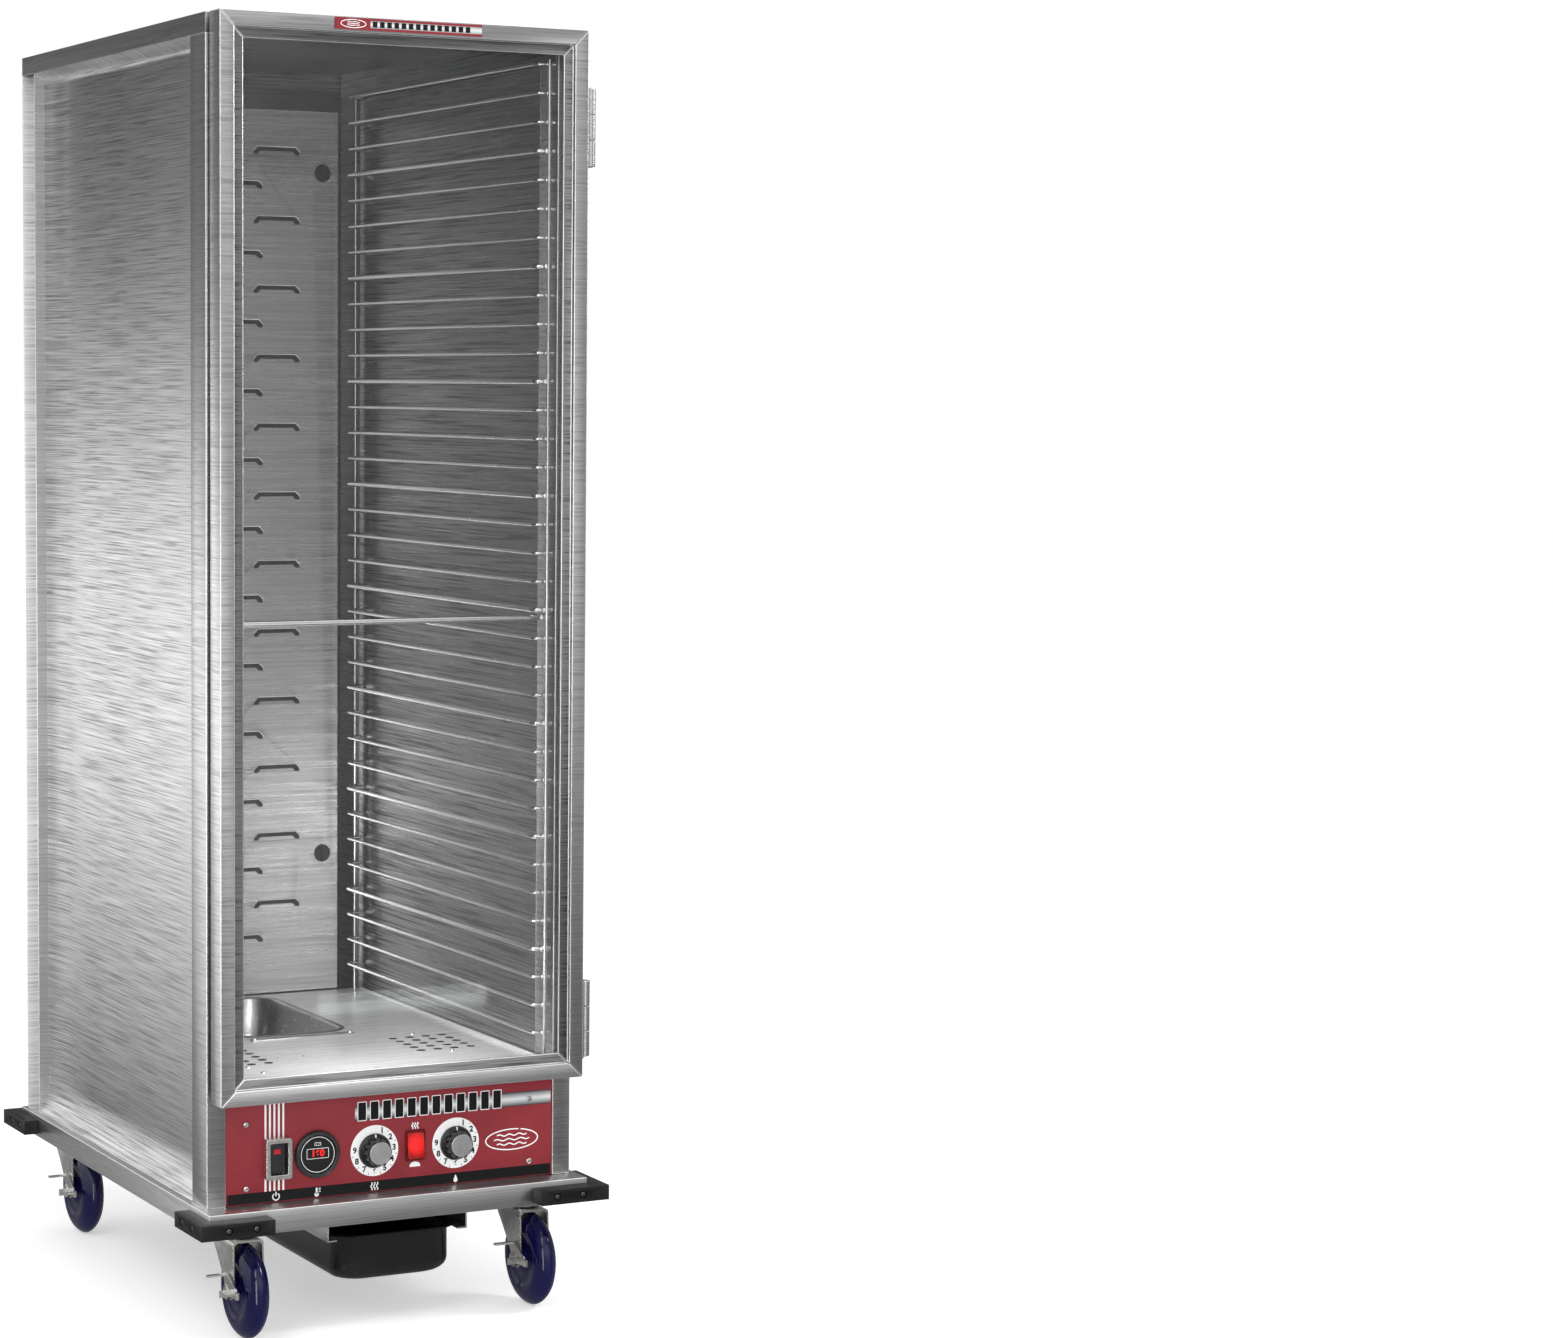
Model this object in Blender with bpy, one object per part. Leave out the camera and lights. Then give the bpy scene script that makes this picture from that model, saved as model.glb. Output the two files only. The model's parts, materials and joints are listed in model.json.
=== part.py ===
"""Proofing cabinet: a heated, humidified sheet-pan cabinet on casters.

Metres, +Z up. X runs left to right, and the door faces -Y. Every sub-part is one object, and a moving one
has its origin on its joint's axis.
"""

import math

import bmesh
import bpy
from mathutils import Matrix, Vector

for old in list(bpy.data.objects):
    bpy.data.objects.remove(old, do_unlink=True)

GAP = 0.0003
LEFT, RIGHT = -1, 1

# Heights
WHEEL_RADIUS = 0.0635
BASE_BOTTOM = 0.147
BASE_TOP = 0.178
DECK_TOP = 0.331
DOOR_BOTTOM = 0.318
CAP_BOTTOM = 1.6842
CAP_TOP = 1.710

# Plan
BODY_HALF = 0.2605
BODY_FRONT = -0.358
BODY_BACK = 0.397
WALL_INNER = 0.2345
WALL_OUTER = 0.2365
BASE_HALF = 0.270
BASE_FRONT = -0.393
BASE_BACK = 0.397
BUMPER_HALF = 0.2905
BUMPER_REACH = 0.4195
SHEET = 0.002

# Back panel and its cord gland
BACK_FACE = 0.394
RIB_HALF = 0.205
RIB_HEIGHT = 0.012
RIB_BOTTOMS = (0.50, 0.86, 1.22, 1.56)
INLET_X = 0.150
INLET_Z = 0.250
INLET_RADIUS = 0.0120

# Side panels
POST_BACK = -0.303
COVE_TOP = 0.018
COVE_BOTTOM = 0.050
COVE_REAR = 0.076
COVE_REAR_SHARE = 0.40
CHANNEL_FRONT = 0.3405
FIN = 0.0025
COVE_STEPS = 4

# Slide racks
SLIDES = 35
SLIDE_PITCH = 0.0381
TOP_SLIDE = 1.6678
SLIDE_X = 0.209
SLIDE_FRONT = -0.350
SLIDE_BACK = 0.305
WIRE = 0.0048
HEAVY_WIRE = 0.0070
HEAVY_EVERY = 4
UPRIGHT_X = 0.2235
UPRIGHT_OFFSET = 0.0042
TIE_SLIDE = 20
TIE_RADIUS = 0.004

# Heater module
DUCT_HALF = 0.201
DUCT_FRONT = 0.323
DUCT_BOTTOM = 0.3333
DUCT_TOP = 1.647
LOUVRE_ROWS = 12
LOUVRE_PITCH = 0.102
LOUVRE_TOP = 1.592
LOUVRE_WIDTH = 0.075
LOUVRE_HEIGHT = 0.008
LOUVRE_OUTER_X = 0.1035
LOUVRE_INNER_X = 0.045
PAN_BACK = 0.300
PAN_FRONT = -0.010
PAN_HALF = 0.079
VENT_COLUMNS = 5
VENT_ROWS = 4
VENT_RADIUS = 0.006

# Control panel
PANEL_FRONT = -0.3565
PANEL_BOTTOM = 0.179
PANEL_TOP = 0.3127
PANEL_THICK = 0.0025
CONTROL_Z = 0.2343
HEAT_X = -0.0256
HUMIDITY_X = 0.0918
MODE_X = 0.0326
MODE_Z = 0.2366
POWER_X = -0.1645
POWER_Z = 0.2375
THERMOMETER_X = -0.1076
THERMOMETER_Z = 0.2372

# Drip pan
DRIP_FRONT = -0.380
DRIP_LENGTH = 0.325
DRIP_RIM_Z = 0.1245
DRIP_RIM_HALF = 0.093
DRIP_RAIL_X = 0.098

# Door
DOOR_HALF = 0.258
DOOR_FRONT = -0.4025
DOOR_BACK = -0.3655
STILE = 0.020
LIP = 0.014
LIP_STEP = 0.006
LIP_THICK = 0.004
GLASS_THICK = 0.004
GASKET_HALF = 0.251
GASKET_WIDTH = 0.0115
GASKET_BOTTOM = 0.3185
GASKET_TOP = 1.7025
HINGE_X = 0.2705
HINGE_Y = -0.382
HINGE_HEIGHT = 0.1027
HINGE_BOTTOMS = {"top": 1.5327, "bottom": 0.3422}
KNUCKLE_RADIUS = 0.0065
PIN_RADIUS = 0.0028
LEAF = 0.0025

# Casters
CASTER_X = {LEFT: -0.202, RIGHT: 0.210}
CASTER_Y = {"front": -0.318, "rear": 0.342}
CASTER_TRAIL = 0.024
WHEEL_WIDTH = 0.032
AXLE_RADIUS = 0.0045
FORK_INSIDE = 0.019
FORK_SHEET = 0.0025

FINISHES = {
    "aluminium": ((0.62, 0.63, 0.64), 0.35, 0.9),
    "dark aluminium": ((0.40, 0.41, 0.42), 0.40, 0.9),
    "steel": ((0.66, 0.66, 0.66), 0.30, 0.95),
    "zinc": ((0.70, 0.70, 0.69), 0.32, 0.95),
    "red": ((0.36, 0.035, 0.045), 0.40, 0.0),
    "black plastic": ((0.012, 0.012, 0.013), 0.40, 0.0),
    "switch red": ((0.70, 0.02, 0.02), 0.30, 0.0),
    "rubber": ((0.05, 0.05, 0.05), 0.80, 0.0),
    "navy": ((0.006, 0.005, 0.045), 0.18, 0.0),
    "clear": ((0.85, 0.87, 0.88), 0.05, 0.0),
}


def finish(name, kind):
    colour, roughness, metallic = FINISHES[kind]
    made = bpy.data.materials.new(name)
    made.use_nodes = True
    shader = made.node_tree.nodes["Principled BSDF"]
    shader.inputs["Base Color"].default_value = (*colour, 1.0)
    shader.inputs["Roughness"].default_value = roughness
    shader.inputs["Metallic"].default_value = metallic
    if kind == "clear":
        shader.inputs["Alpha"].default_value = 0.25
    return made


def part(name, bm, kind, origin=(0, 0, 0), turn=0.0, smooth=False):
    """An object from a mesh in world coordinates, with its origin moved to its joint."""
    bmesh.ops.recalc_face_normals(bm, faces=bm.faces)
    mesh = bpy.data.meshes.new(name)
    place = Matrix.Translation(Vector(origin)) @ Matrix.Rotation(turn, 4, "Z")
    bmesh.ops.transform(bm, matrix=place.inverted(), verts=bm.verts)
    bm.to_mesh(mesh)
    bm.free()
    if smooth:
        mesh.shade_smooth()
        mesh.set_sharp_from_angle(angle=math.radians(40))
    mesh.materials.append(finish(name, kind))
    obj = bpy.data.objects.new(name, mesh)
    obj.location = origin
    obj.rotation_euler = (0, 0, turn)
    bpy.context.scene.collection.objects.link(obj)
    return obj


def combine(target, bm, operation):
    """A Boolean with a hidden object, whose mesh is in world coordinates."""
    bmesh.ops.recalc_face_normals(bm, faces=bm.faces)
    number = len(target.modifiers)
    mesh = bpy.data.meshes.new(f"{target.name}_{operation}_{number}")
    bm.to_mesh(mesh)
    bm.free()
    tool = bpy.data.objects.new(mesh.name, mesh)
    tool.hide_render = True
    tool.display_type = "WIRE"
    bpy.context.scene.collection.objects.link(tool)
    modifier = target.modifiers.new(f"{operation}_{number}", "BOOLEAN")
    modifier.operation = operation
    modifier.solver = "EXACT"
    modifier.object = tool


def cut(target, bm):
    combine(target, bm, "DIFFERENCE")


def join(target, bm):
    combine(target, bm, "UNION")


def blocks(*boxes):
    """Separate boxes, each given as (x0, x1), (y0, y1), (z0, z1)."""
    bm = bmesh.new()
    for xs, ys, zs in boxes:
        corner = Vector((min(xs), min(ys), min(zs)))
        size = Vector((abs(xs[1] - xs[0]), abs(ys[1] - ys[0]), abs(zs[1] - zs[0])))
        place = Matrix.Translation(corner + size / 2) @ Matrix.Diagonal((*size, 1))
        bmesh.ops.create_cube(bm, size=1.0, matrix=place)
    return bm


AXES = {"X": (1, 2, 0), "Y": (2, 0, 1), "Z": (0, 1, 2)}


def prism(outline, axis, start, end, bm=None):
    """An outline in the two directions after axis, in cyclic order, drawn out along axis."""
    bm = bm or bmesh.new()
    first, second, along = AXES[axis]
    bottom = []
    for u, v in outline:
        point = [0.0, 0.0, 0.0]
        point[first], point[second], point[along] = u, v, start
        bottom.append(bm.verts.new(point))
    face = bm.faces.new(bottom)
    out = bmesh.ops.extrude_face_region(bm, geom=[face])
    lift = Vector((0, 0, 0))
    lift[along] = end - start
    bmesh.ops.translate(bm, vec=lift, verts=[v for v in out["geom"] if isinstance(v, bmesh.types.BMVert)])
    bmesh.ops.recalc_face_normals(bm, faces=bm.faces)
    return bm


def circle(centre, radius, sides, start=0.0):
    return [
        (
            centre[0] + radius * math.cos(start + 2 * math.pi * i / sides),
            centre[1] + radius * math.sin(start + 2 * math.pi * i / sides),
        )
        for i in range(sides)
    ]


def loft(rings, bm=None, closed=False):
    """Skins a list of rings with the same number of points; closed joins the last ring to the first."""
    bm = bm or bmesh.new()
    made = [[bm.verts.new(p) for p in ring] for ring in rings]
    pairs = list(zip(made, made[1:] + made[:1])) if closed else list(zip(made, made[1:]))
    for lower, upper in pairs:
        count = len(lower)
        for i in range(count):
            j = (i + 1) % count
            bm.faces.new((lower[i], lower[j], upper[j], upper[i]))
    if not closed:
        bm.faces.new(made[0])
        bm.faces.new(made[-1])
    return bm


def turned(profile, centre, axis, sides, bm=None, start=0.0):
    """A solid of revolution from (radius, distance along axis) pairs; a closed profile makes a ring."""
    closed = profile[0] == profile[-1]
    first, second, along = AXES[axis]
    rings = []
    for radius, distance in profile[:-1] if closed else profile:
        ring = []
        for u, v in circle((0, 0), radius, sides, start):
            point = [0.0, 0.0, 0.0]
            point[first], point[second], point[along] = u, v, distance
            ring.append(Vector(point) + Vector(centre))
        rings.append(ring)
    return loft(rings, bm, closed)


def rounded_rectangle(half_x, y0, y1, radius, z, steps=3):
    points = []
    corners = (
        (half_x - radius, y1 - radius, 0.0),
        (radius - half_x, y1 - radius, 0.5),
        (radius - half_x, y0 + radius, 1.0),
        (half_x - radius, y0 + radius, 1.5),
    )
    for x, y, quarter in corners:
        for i in range(steps + 1):
            angle = math.pi * (quarter + 0.5 * i / steps)
            points.append(Vector((x + radius * math.cos(angle), y + radius * math.sin(angle), z)))
    return points


def food_pan(half, y0, y1, rim_half, depth, rim_z, wall, radius, outer, inner):
    """An open pan hung by its rim; outer and inner list (inset, rise) up its foot, outside and inside."""
    out = rim_half - half
    floor = rim_z - depth
    rim_top = rim_z + wall

    def ring(inset, z):
        return rounded_rectangle(half - inset, y0 + inset, y1 - inset, radius, z)

    rim = [ring(0, rim_z), ring(-out, rim_z), ring(-out, rim_top), ring(wall, rim_top)]
    lower = [ring(inset, floor + rise) for inset, rise in outer]
    upper = [ring(inset, floor + rise) for inset, rise in reversed(inner)]
    return loft(lower + rim + upper)


# Base


def make_base():
    frame = part(
        "base_frame",
        blocks(((-BASE_HALF, BASE_HALF), (BASE_FRONT, BASE_BACK), (BASE_BOTTOM, BASE_TOP))),
        "aluminium",
    )
    hole_x, hole_front, hole_back = 0.150, -0.040, 0.275
    cut(frame, blocks(((-hole_x, hole_x), (hole_front, hole_back), (BASE_BOTTOM - 0.01, BASE_TOP - 0.003))))
    groove = 0.0025
    cut(
        frame,
        blocks(
            (
                (-BASE_HALF + groove, BASE_HALF - groove),
                (BASE_FRONT + groove, BASE_BACK - groove),
                (BASE_BOTTOM + 0.003, BASE_TOP - 0.003),
            )
        ),
    )
    for side, where in ((LEFT, "left"), (RIGHT, "right")):
        for end, inner_y, sign in (("front", BASE_FRONT - GAP, -1), ("rear", BASE_BACK + GAP, 1)):
            outer_x, outer_y = side * BUMPER_HALF, sign * BUMPER_REACH
            inner_x = side * (BASE_HALF + GAP)
            leg = 0.101
            outline = [
                (outer_x, outer_y),
                (outer_x - side * leg, outer_y),
                (outer_x - side * leg, inner_y),
                (inner_x, inner_y),
                (inner_x, outer_y - sign * leg),
                (outer_x, outer_y - sign * leg),
            ]
            part(f"corner_bumper_{end}_{where}", prism(outline, "Z", 0.1512, 0.1712), "black plastic")


def make_caster(side, end, where):
    x, y = CASTER_X[side], CASTER_Y[end]
    axle_y = y - CASTER_TRAIL
    spot = f"{end}_{where}"
    plate_z = BASE_BOTTOM - GAP
    plate = part(
        f"caster_plate_{spot}",
        blocks(((x - 0.032, x + 0.032), (y - 0.046, y + 0.046), (plate_z - 0.004, plate_z))),
        "zinc",
    )
    race = [(0.020, -0.0152), (0.026, -0.012), (0.026, -0.0035)]
    join(plate, turned(race, (x, y, plate_z), "Z", 16))

    crown = (0.128, 0.1312)
    out = FORK_INSIDE + FORK_SHEET
    body = part(
        f"caster_fork_{spot}",
        blocks(((x - out, x + out), (y - 0.036, y + 0.040), crown)),
        "zinc",
        (x, y, plate_z),
    )
    leg = [
        (y - 0.035, crown[1] - 0.001),
        (y + 0.039, crown[1] - 0.001),
        (y + 0.022, 0.104),
        (axle_y + 0.013, WHEEL_RADIUS + 0.002),
        (axle_y + 0.008, WHEEL_RADIUS - 0.010),
        (axle_y - 0.006, WHEEL_RADIUS - 0.011),
        (axle_y - 0.012, WHEEL_RADIUS - 0.002),
        (axle_y - 0.011, 0.100),
    ]
    legs = prism(leg, "X", x - out - 0.0008, x - FORK_INSIDE)
    prism(leg, "X", x + FORK_INSIDE, x + out + 0.0008, legs)
    join(body, legs)
    axle = turned(
        [(AXLE_RADIUS, -0.0275), (AXLE_RADIUS, 0.0225), (0.009, 0.0225), (0.009, 0.028)],
        (x, axle_y, WHEEL_RADIUS),
        "X",
        10,
    )
    join(body, axle)

    half = WHEEL_WIDTH / 2
    bore = AXLE_RADIUS + 0.0004
    profile = [
        (bore, -half - 0.0015),
        (0.016, -half - 0.0015),
        (0.018, -half + 0.001),
        (0.030, -half + 0.003),
        (0.042, -half),
        (0.049, -half + 0.0012),
        (0.056, -half + 0.0045),
        (0.0612, -0.0068),
        (WHEEL_RADIUS, 0.0),
        (0.0612, 0.0068),
        (0.056, half - 0.0045),
        (0.049, half - 0.0012),
        (0.042, half),
        (0.030, half - 0.003),
        (0.018, half - 0.001),
        (0.016, half + 0.0015),
        (bore, half + 0.0015),
        (bore, -half - 0.0015),
    ]
    centre = (x, axle_y, WHEEL_RADIUS)
    tyre = turned(profile, centre, "X", 24, start=math.pi / 2)
    part(f"caster_wheel_{spot}", tyre, "navy", centre, smooth=True)

    near, far = -0.0268, -0.0226
    outside = 0.009
    ring = [(bore, near), (outside, near), (outside, far), (bore, far), (bore, near)]
    hub = turned(ring, centre, "X", 12)
    pedal = part(f"caster_brake_{spot}", hub, "zinc", centre)
    arm = prism(
        [
            (axle_y - 0.0062, WHEEL_RADIUS + 0.0056),
            (axle_y + 0.0058, WHEEL_RADIUS + 0.0068),
            (axle_y + 0.011, WHEEL_RADIUS + 0.024),
            (axle_y + 0.001, WHEEL_RADIUS + 0.024),
            (axle_y - 0.034, WHEEL_RADIUS + 0.011),
            (axle_y - 0.038, WHEEL_RADIUS + 0.000),
            (axle_y - 0.009, WHEEL_RADIUS - 0.004),
        ],
        "X",
        x + near + 0.0005,
        x + near + 0.0035,
    )
    join(pedal, arm)
    end = x + near + 0.002
    tabs = blocks(
        ((x - 0.044, end), (axle_y - 0.0440, axle_y - 0.0210), (WHEEL_RADIUS - 0.0015, WHEEL_RADIUS + 0.0080)),
        ((x - 0.050, end), (axle_y + 0.0030, axle_y + 0.0110), (WHEEL_RADIUS + 0.0200, WHEEL_RADIUS + 0.0225)),
    )
    join(pedal, tabs)


# Body shell


def dish_depth(y, z, top, bottom, rear):
    """How far the side sheet lies inside the outer plane: soft coves along its top, foot and rear edge."""

    def rise(distance, width):
        t = min(max(distance / width, 0.0), 1.0)
        return 1.0 - (1.0 - t) ** 2

    full = BODY_HALF - WALL_OUTER
    edge = rise(top - z, COVE_TOP) * rise(z - bottom, COVE_BOTTOM)
    back = 1.0 - COVE_REAR_SHARE * (1.0 - rise(rear - y, COVE_REAR))
    return full * edge * back


def make_side(side, where):
    bottom, top = BASE_TOP + GAP, CAP_BOTTOM - GAP
    front, rear = POST_BACK + GAP, CHANNEL_FRONT + FIN / 2
    steps = range(1, COVE_STEPS + 1)
    ys = [front, rear - COVE_REAR] + [rear - COVE_REAR * (1 - i / COVE_STEPS) for i in steps]
    zs = [bottom + COVE_BOTTOM * (i / COVE_STEPS) ** 1.5 for i in range(COVE_STEPS + 1)]
    zs += [top - COVE_TOP * ((COVE_STEPS - i) / COVE_STEPS) ** 1.5 for i in range(COVE_STEPS + 1)]
    bm = bmesh.new()
    sheets = []
    for thickness in (0.0, SHEET):
        rows = []
        for z in zs:
            depths = [dish_depth(y, z, top, bottom, rear) + thickness for y in ys]
            rows.append([bm.verts.new((side * (BODY_HALF - d), y, z)) for y, d in zip(ys, depths)])
        for low, high in zip(rows, rows[1:]):
            for i in range(len(ys) - 1):
                bm.faces.new((low[i], low[i + 1], high[i + 1], high[i]))
        sheets.append(rows)
    outer, inner = sheets

    def rim(rows):
        edge = list(rows[0])
        edge += [row[-1] for row in rows[1:]]
        edge += list(reversed(rows[-1]))[1:]
        edge += [row[0] for row in reversed(rows[:-1])][:-1]
        return edge

    a, b = rim(outer), rim(inner)
    for i in range(len(a)):
        j = (i + 1) % len(a)
        bm.faces.new((a[i], a[j], b[j], b[i]))
    panel = part(f"side_panel_{where}", bm, "aluminium")
    out, web, inside = side * BODY_HALF, side * WALL_OUTER, side * WALL_INNER
    channel = [
        (out, CHANNEL_FRONT),
        (out, CHANNEL_FRONT + FIN),
        (web, CHANNEL_FRONT + FIN),
        (web, BODY_BACK - FIN),
        (out, BODY_BACK - FIN),
        (out, BODY_BACK),
        (inside, BODY_BACK),
        (inside, CHANNEL_FRONT),
    ]
    join(panel, prism(channel, "Z", bottom, top))

    wall = 0.0025
    xs = (side * WALL_INNER, side * BODY_HALF)
    post = part(
        f"front_post_{where}",
        blocks((xs, (BODY_FRONT, POST_BACK), (bottom, top))),
        "aluminium",
    )
    cut(
        post,
        blocks(
            (
                (xs[0] + side * wall, xs[1] - side * wall),
                (BODY_FRONT + wall, POST_BACK - wall),
                (bottom - 0.01, top + 0.01),
            )
        ),
    )


def make_shell():
    for side, where in ((LEFT, "left"), (RIGHT, "right")):
        make_side(side, where)
    low, high = BASE_TOP + GAP, CAP_BOTTOM - GAP
    across = (-WALL_INNER + GAP, WALL_INNER - GAP)
    back = part("back_panel", blocks((across, (BACK_FACE - SHEET, BACK_FACE), (low, high))), "aluminium")
    # Shallow stiffening ribs pressed outwards from the back sheet
    rib_y = (BACK_FACE - 0.0005, BACK_FACE + 0.0022)
    join(back, blocks(*(((-RIB_HALF, RIB_HALF), rib_y, (z, z + RIB_HEIGHT)) for z in RIB_BOTTOMS)))
    cut(back, prism(circle((INLET_Z, INLET_X), INLET_RADIUS + 0.0005, 12), "Y", 0.38, 0.41))
    shank, flange, bore = INLET_RADIUS, 0.0215, 0.0065
    profile = [(0.0095, -0.018), (shank, -0.018), (shank, GAP), (flange, GAP), (flange, 0.003)]
    profile += [(0.013, 0.0035), (0.0115, 0.010), (bore, 0.010), (bore, -0.010), (0.0095, -0.018)]
    gland = turned(profile, (INLET_X, BACK_FACE, INLET_Z), "Y", 16)
    part("power_inlet", gland, "black plastic", smooth=True)

    cap = part(
        "top_cap",
        blocks(((-BODY_HALF, BODY_HALF), (BODY_FRONT, BODY_BACK + 0.001), (CAP_BOTTOM, CAP_TOP))),
        "aluminium",
    )
    inner = BODY_HALF - SHEET
    hollow = (BODY_FRONT + SHEET, BODY_BACK - 0.001)
    cut(cap, blocks(((-inner, inner), hollow, (CAP_BOTTOM - 0.01, CAP_TOP - SHEET))))
    skirt, skirt_thick = WALL_INNER - GAP, 0.0015
    skirt_y, skirt_z = (BODY_FRONT + 0.004, 0.390), (CAP_BOTTOM - 0.0135, CAP_TOP - 0.001)
    strips = [((s * skirt, s * (skirt - skirt_thick)), skirt_y, skirt_z) for s in (LEFT, RIGHT)]
    join(cap, blocks(*strips))


# Inside


def slide_height(number):
    return TOP_SLIDE - SLIDE_PITCH * (number - 1)


def make_rack(name, side, first, last, low, high):
    """A welded section of slides, each bent out to the wall at both ends, on a front and a rear upright."""
    bm = bmesh.new()
    wall_end = WALL_INNER - 0.0008
    for number in range(first, last + 1):
        wire = HEAVY_WIRE if number % HEAVY_EVERY == 0 else WIRE
        z = slide_height(number) - wire / 2
        inner, outer = side * (SLIDE_X - wire / 2), side * (SLIDE_X + wire / 2)
        front, back = SLIDE_FRONT - WIRE / 2, SLIDE_BACK + WIRE / 2
        end = side * wall_end
        outline = [
            (inner, front),
            (end, front),
            (end, front + WIRE),
            (outer, front + WIRE),
            (outer, back - WIRE),
            (end, back - WIRE),
            (end, back),
            (inner, back),
        ]
        prism(outline, "Z", z, z + wire, bm)
    rack = part(name, bm, "steel")
    x = (side * (UPRIGHT_X - WIRE / 2), side * (UPRIGHT_X + WIRE / 2))
    uprights = [
        (x, (y - WIRE / 2, y + WIRE / 2), (low, high))
        for y in (SLIDE_FRONT - UPRIGHT_OFFSET, SLIDE_BACK + UPRIGHT_OFFSET)
    ]
    join(rack, blocks(*uprights))


def make_racks():
    split = slide_height(TIE_SLIDE) - SLIDE_PITCH * 0.6
    for side, where in ((LEFT, "left"), (RIGHT, "right")):
        top = slide_height(1) + 0.006
        make_rack(f"slide_rack_upper_{where}", side, 1, TIE_SLIDE, split + GAP / 2, top)
        make_rack(f"slide_rack_lower_{where}", side, TIE_SLIDE + 1, SLIDES, DECK_TOP + GAP, split - GAP / 2)
    z = slide_height(TIE_SLIDE) - HEAVY_WIRE / 2 - TIE_RADIUS - 0.0028
    end, collar, thick, wide = 0.2332, 0.2170, 0.0055, 0.0065
    profile = [(TIE_RADIUS, -end), (TIE_RADIUS, -collar - thick), (wide, -collar - thick)]
    profile += [(wide, -collar), (TIE_RADIUS, -collar)]
    profile += [(r, -x) for r, x in reversed(profile)]
    part("rack_tie_rod", turned(profile, (0, SLIDE_FRONT + 0.0055, z), "X", 12), "steel", smooth=True)


def louvre_places():
    """Centres of the air slots: two staggered columns on each side of the middle."""
    for row in range(LOUVRE_ROWS):
        z = LOUVRE_TOP - row * LOUVRE_PITCH
        for side in (LEFT, RIGHT):
            yield side * LOUVRE_OUTER_X, z
            yield side * LOUVRE_INNER_X, z - LOUVRE_PITCH / 2


def make_duct():
    duct = part(
        "duct_panel",
        blocks(((-DUCT_HALF, DUCT_HALF), (DUCT_FRONT, 0.3916), (DUCT_BOTTOM, DUCT_TOP))),
        "aluminium",
    )
    inner = DUCT_HALF - SHEET
    cut(
        duct,
        blocks(((-inner, inner), (DUCT_FRONT + SHEET, 0.40), (DUCT_BOTTOM - 0.01, DUCT_TOP - SHEET))),
    )
    half, tall = LOUVRE_WIDTH / 2, LOUVRE_HEIGHT / 2
    reach = (DUCT_FRONT - 0.01, DUCT_FRONT + 0.01)
    slots = blocks(*(((x - half, x + half), reach, (z - tall, z + tall)) for x, z in louvre_places()))
    for x in (-0.1795, 0.1795):
        for z in (0.540, 1.5567):
            prism(circle((z, x), 0.0125, 10), "Y", reach[0], reach[1], slots)
    cut(duct, slots)

    fan_x, fan_z, fan_half = 0.0, 0.430, 0.066
    fan_box = ((fan_x - fan_half, fan_x + fan_half), (0.345, 0.3885), (fan_z - fan_half, fan_z + fan_half))
    housing = part("blower_housing", blocks(fan_box), "dark aluminium")
    cut(housing, prism(circle((fan_z, fan_x), 0.058, 20), "Y", 0.33, 0.3855))
    rotor = part(
        "blower_wheel",
        turned([(0.016, 0.348), (0.020, 0.352), (0.020, 0.382)], (fan_x, 0, fan_z), "Y", 12),
        "black plastic",
        (fan_x, 0.365, fan_z),
    )
    blades = bmesh.new()
    count = 6
    for i in range(count):
        blade = blocks(((0.017, 0.054), (-0.0012, 0.0012), (-0.013, 0.013)))
        turn = (
            Matrix.Translation((fan_x, 0.366, fan_z))
            @ Matrix.Rotation(2 * math.pi * i / count, 4, "Y")
            @ Matrix.Rotation(math.radians(35), 4, "X")
        )
        bmesh.ops.transform(blade, matrix=turn, verts=blade.verts)
        mesh = bpy.data.meshes.new("blade")
        blade.to_mesh(mesh)
        blade.free()
        blades.from_mesh(mesh)
        bpy.data.meshes.remove(mesh)
    join(rotor, blades)


def vent_places():
    """Centres of the hot-air holes in the deck, a slanted grid on each side."""
    for side in (LEFT, RIGHT):
        for column in range(VENT_COLUMNS):
            for row in range(VENT_ROWS):
                yield side * (0.112 + 0.025 * row), -0.098 - 0.0245 * column


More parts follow.
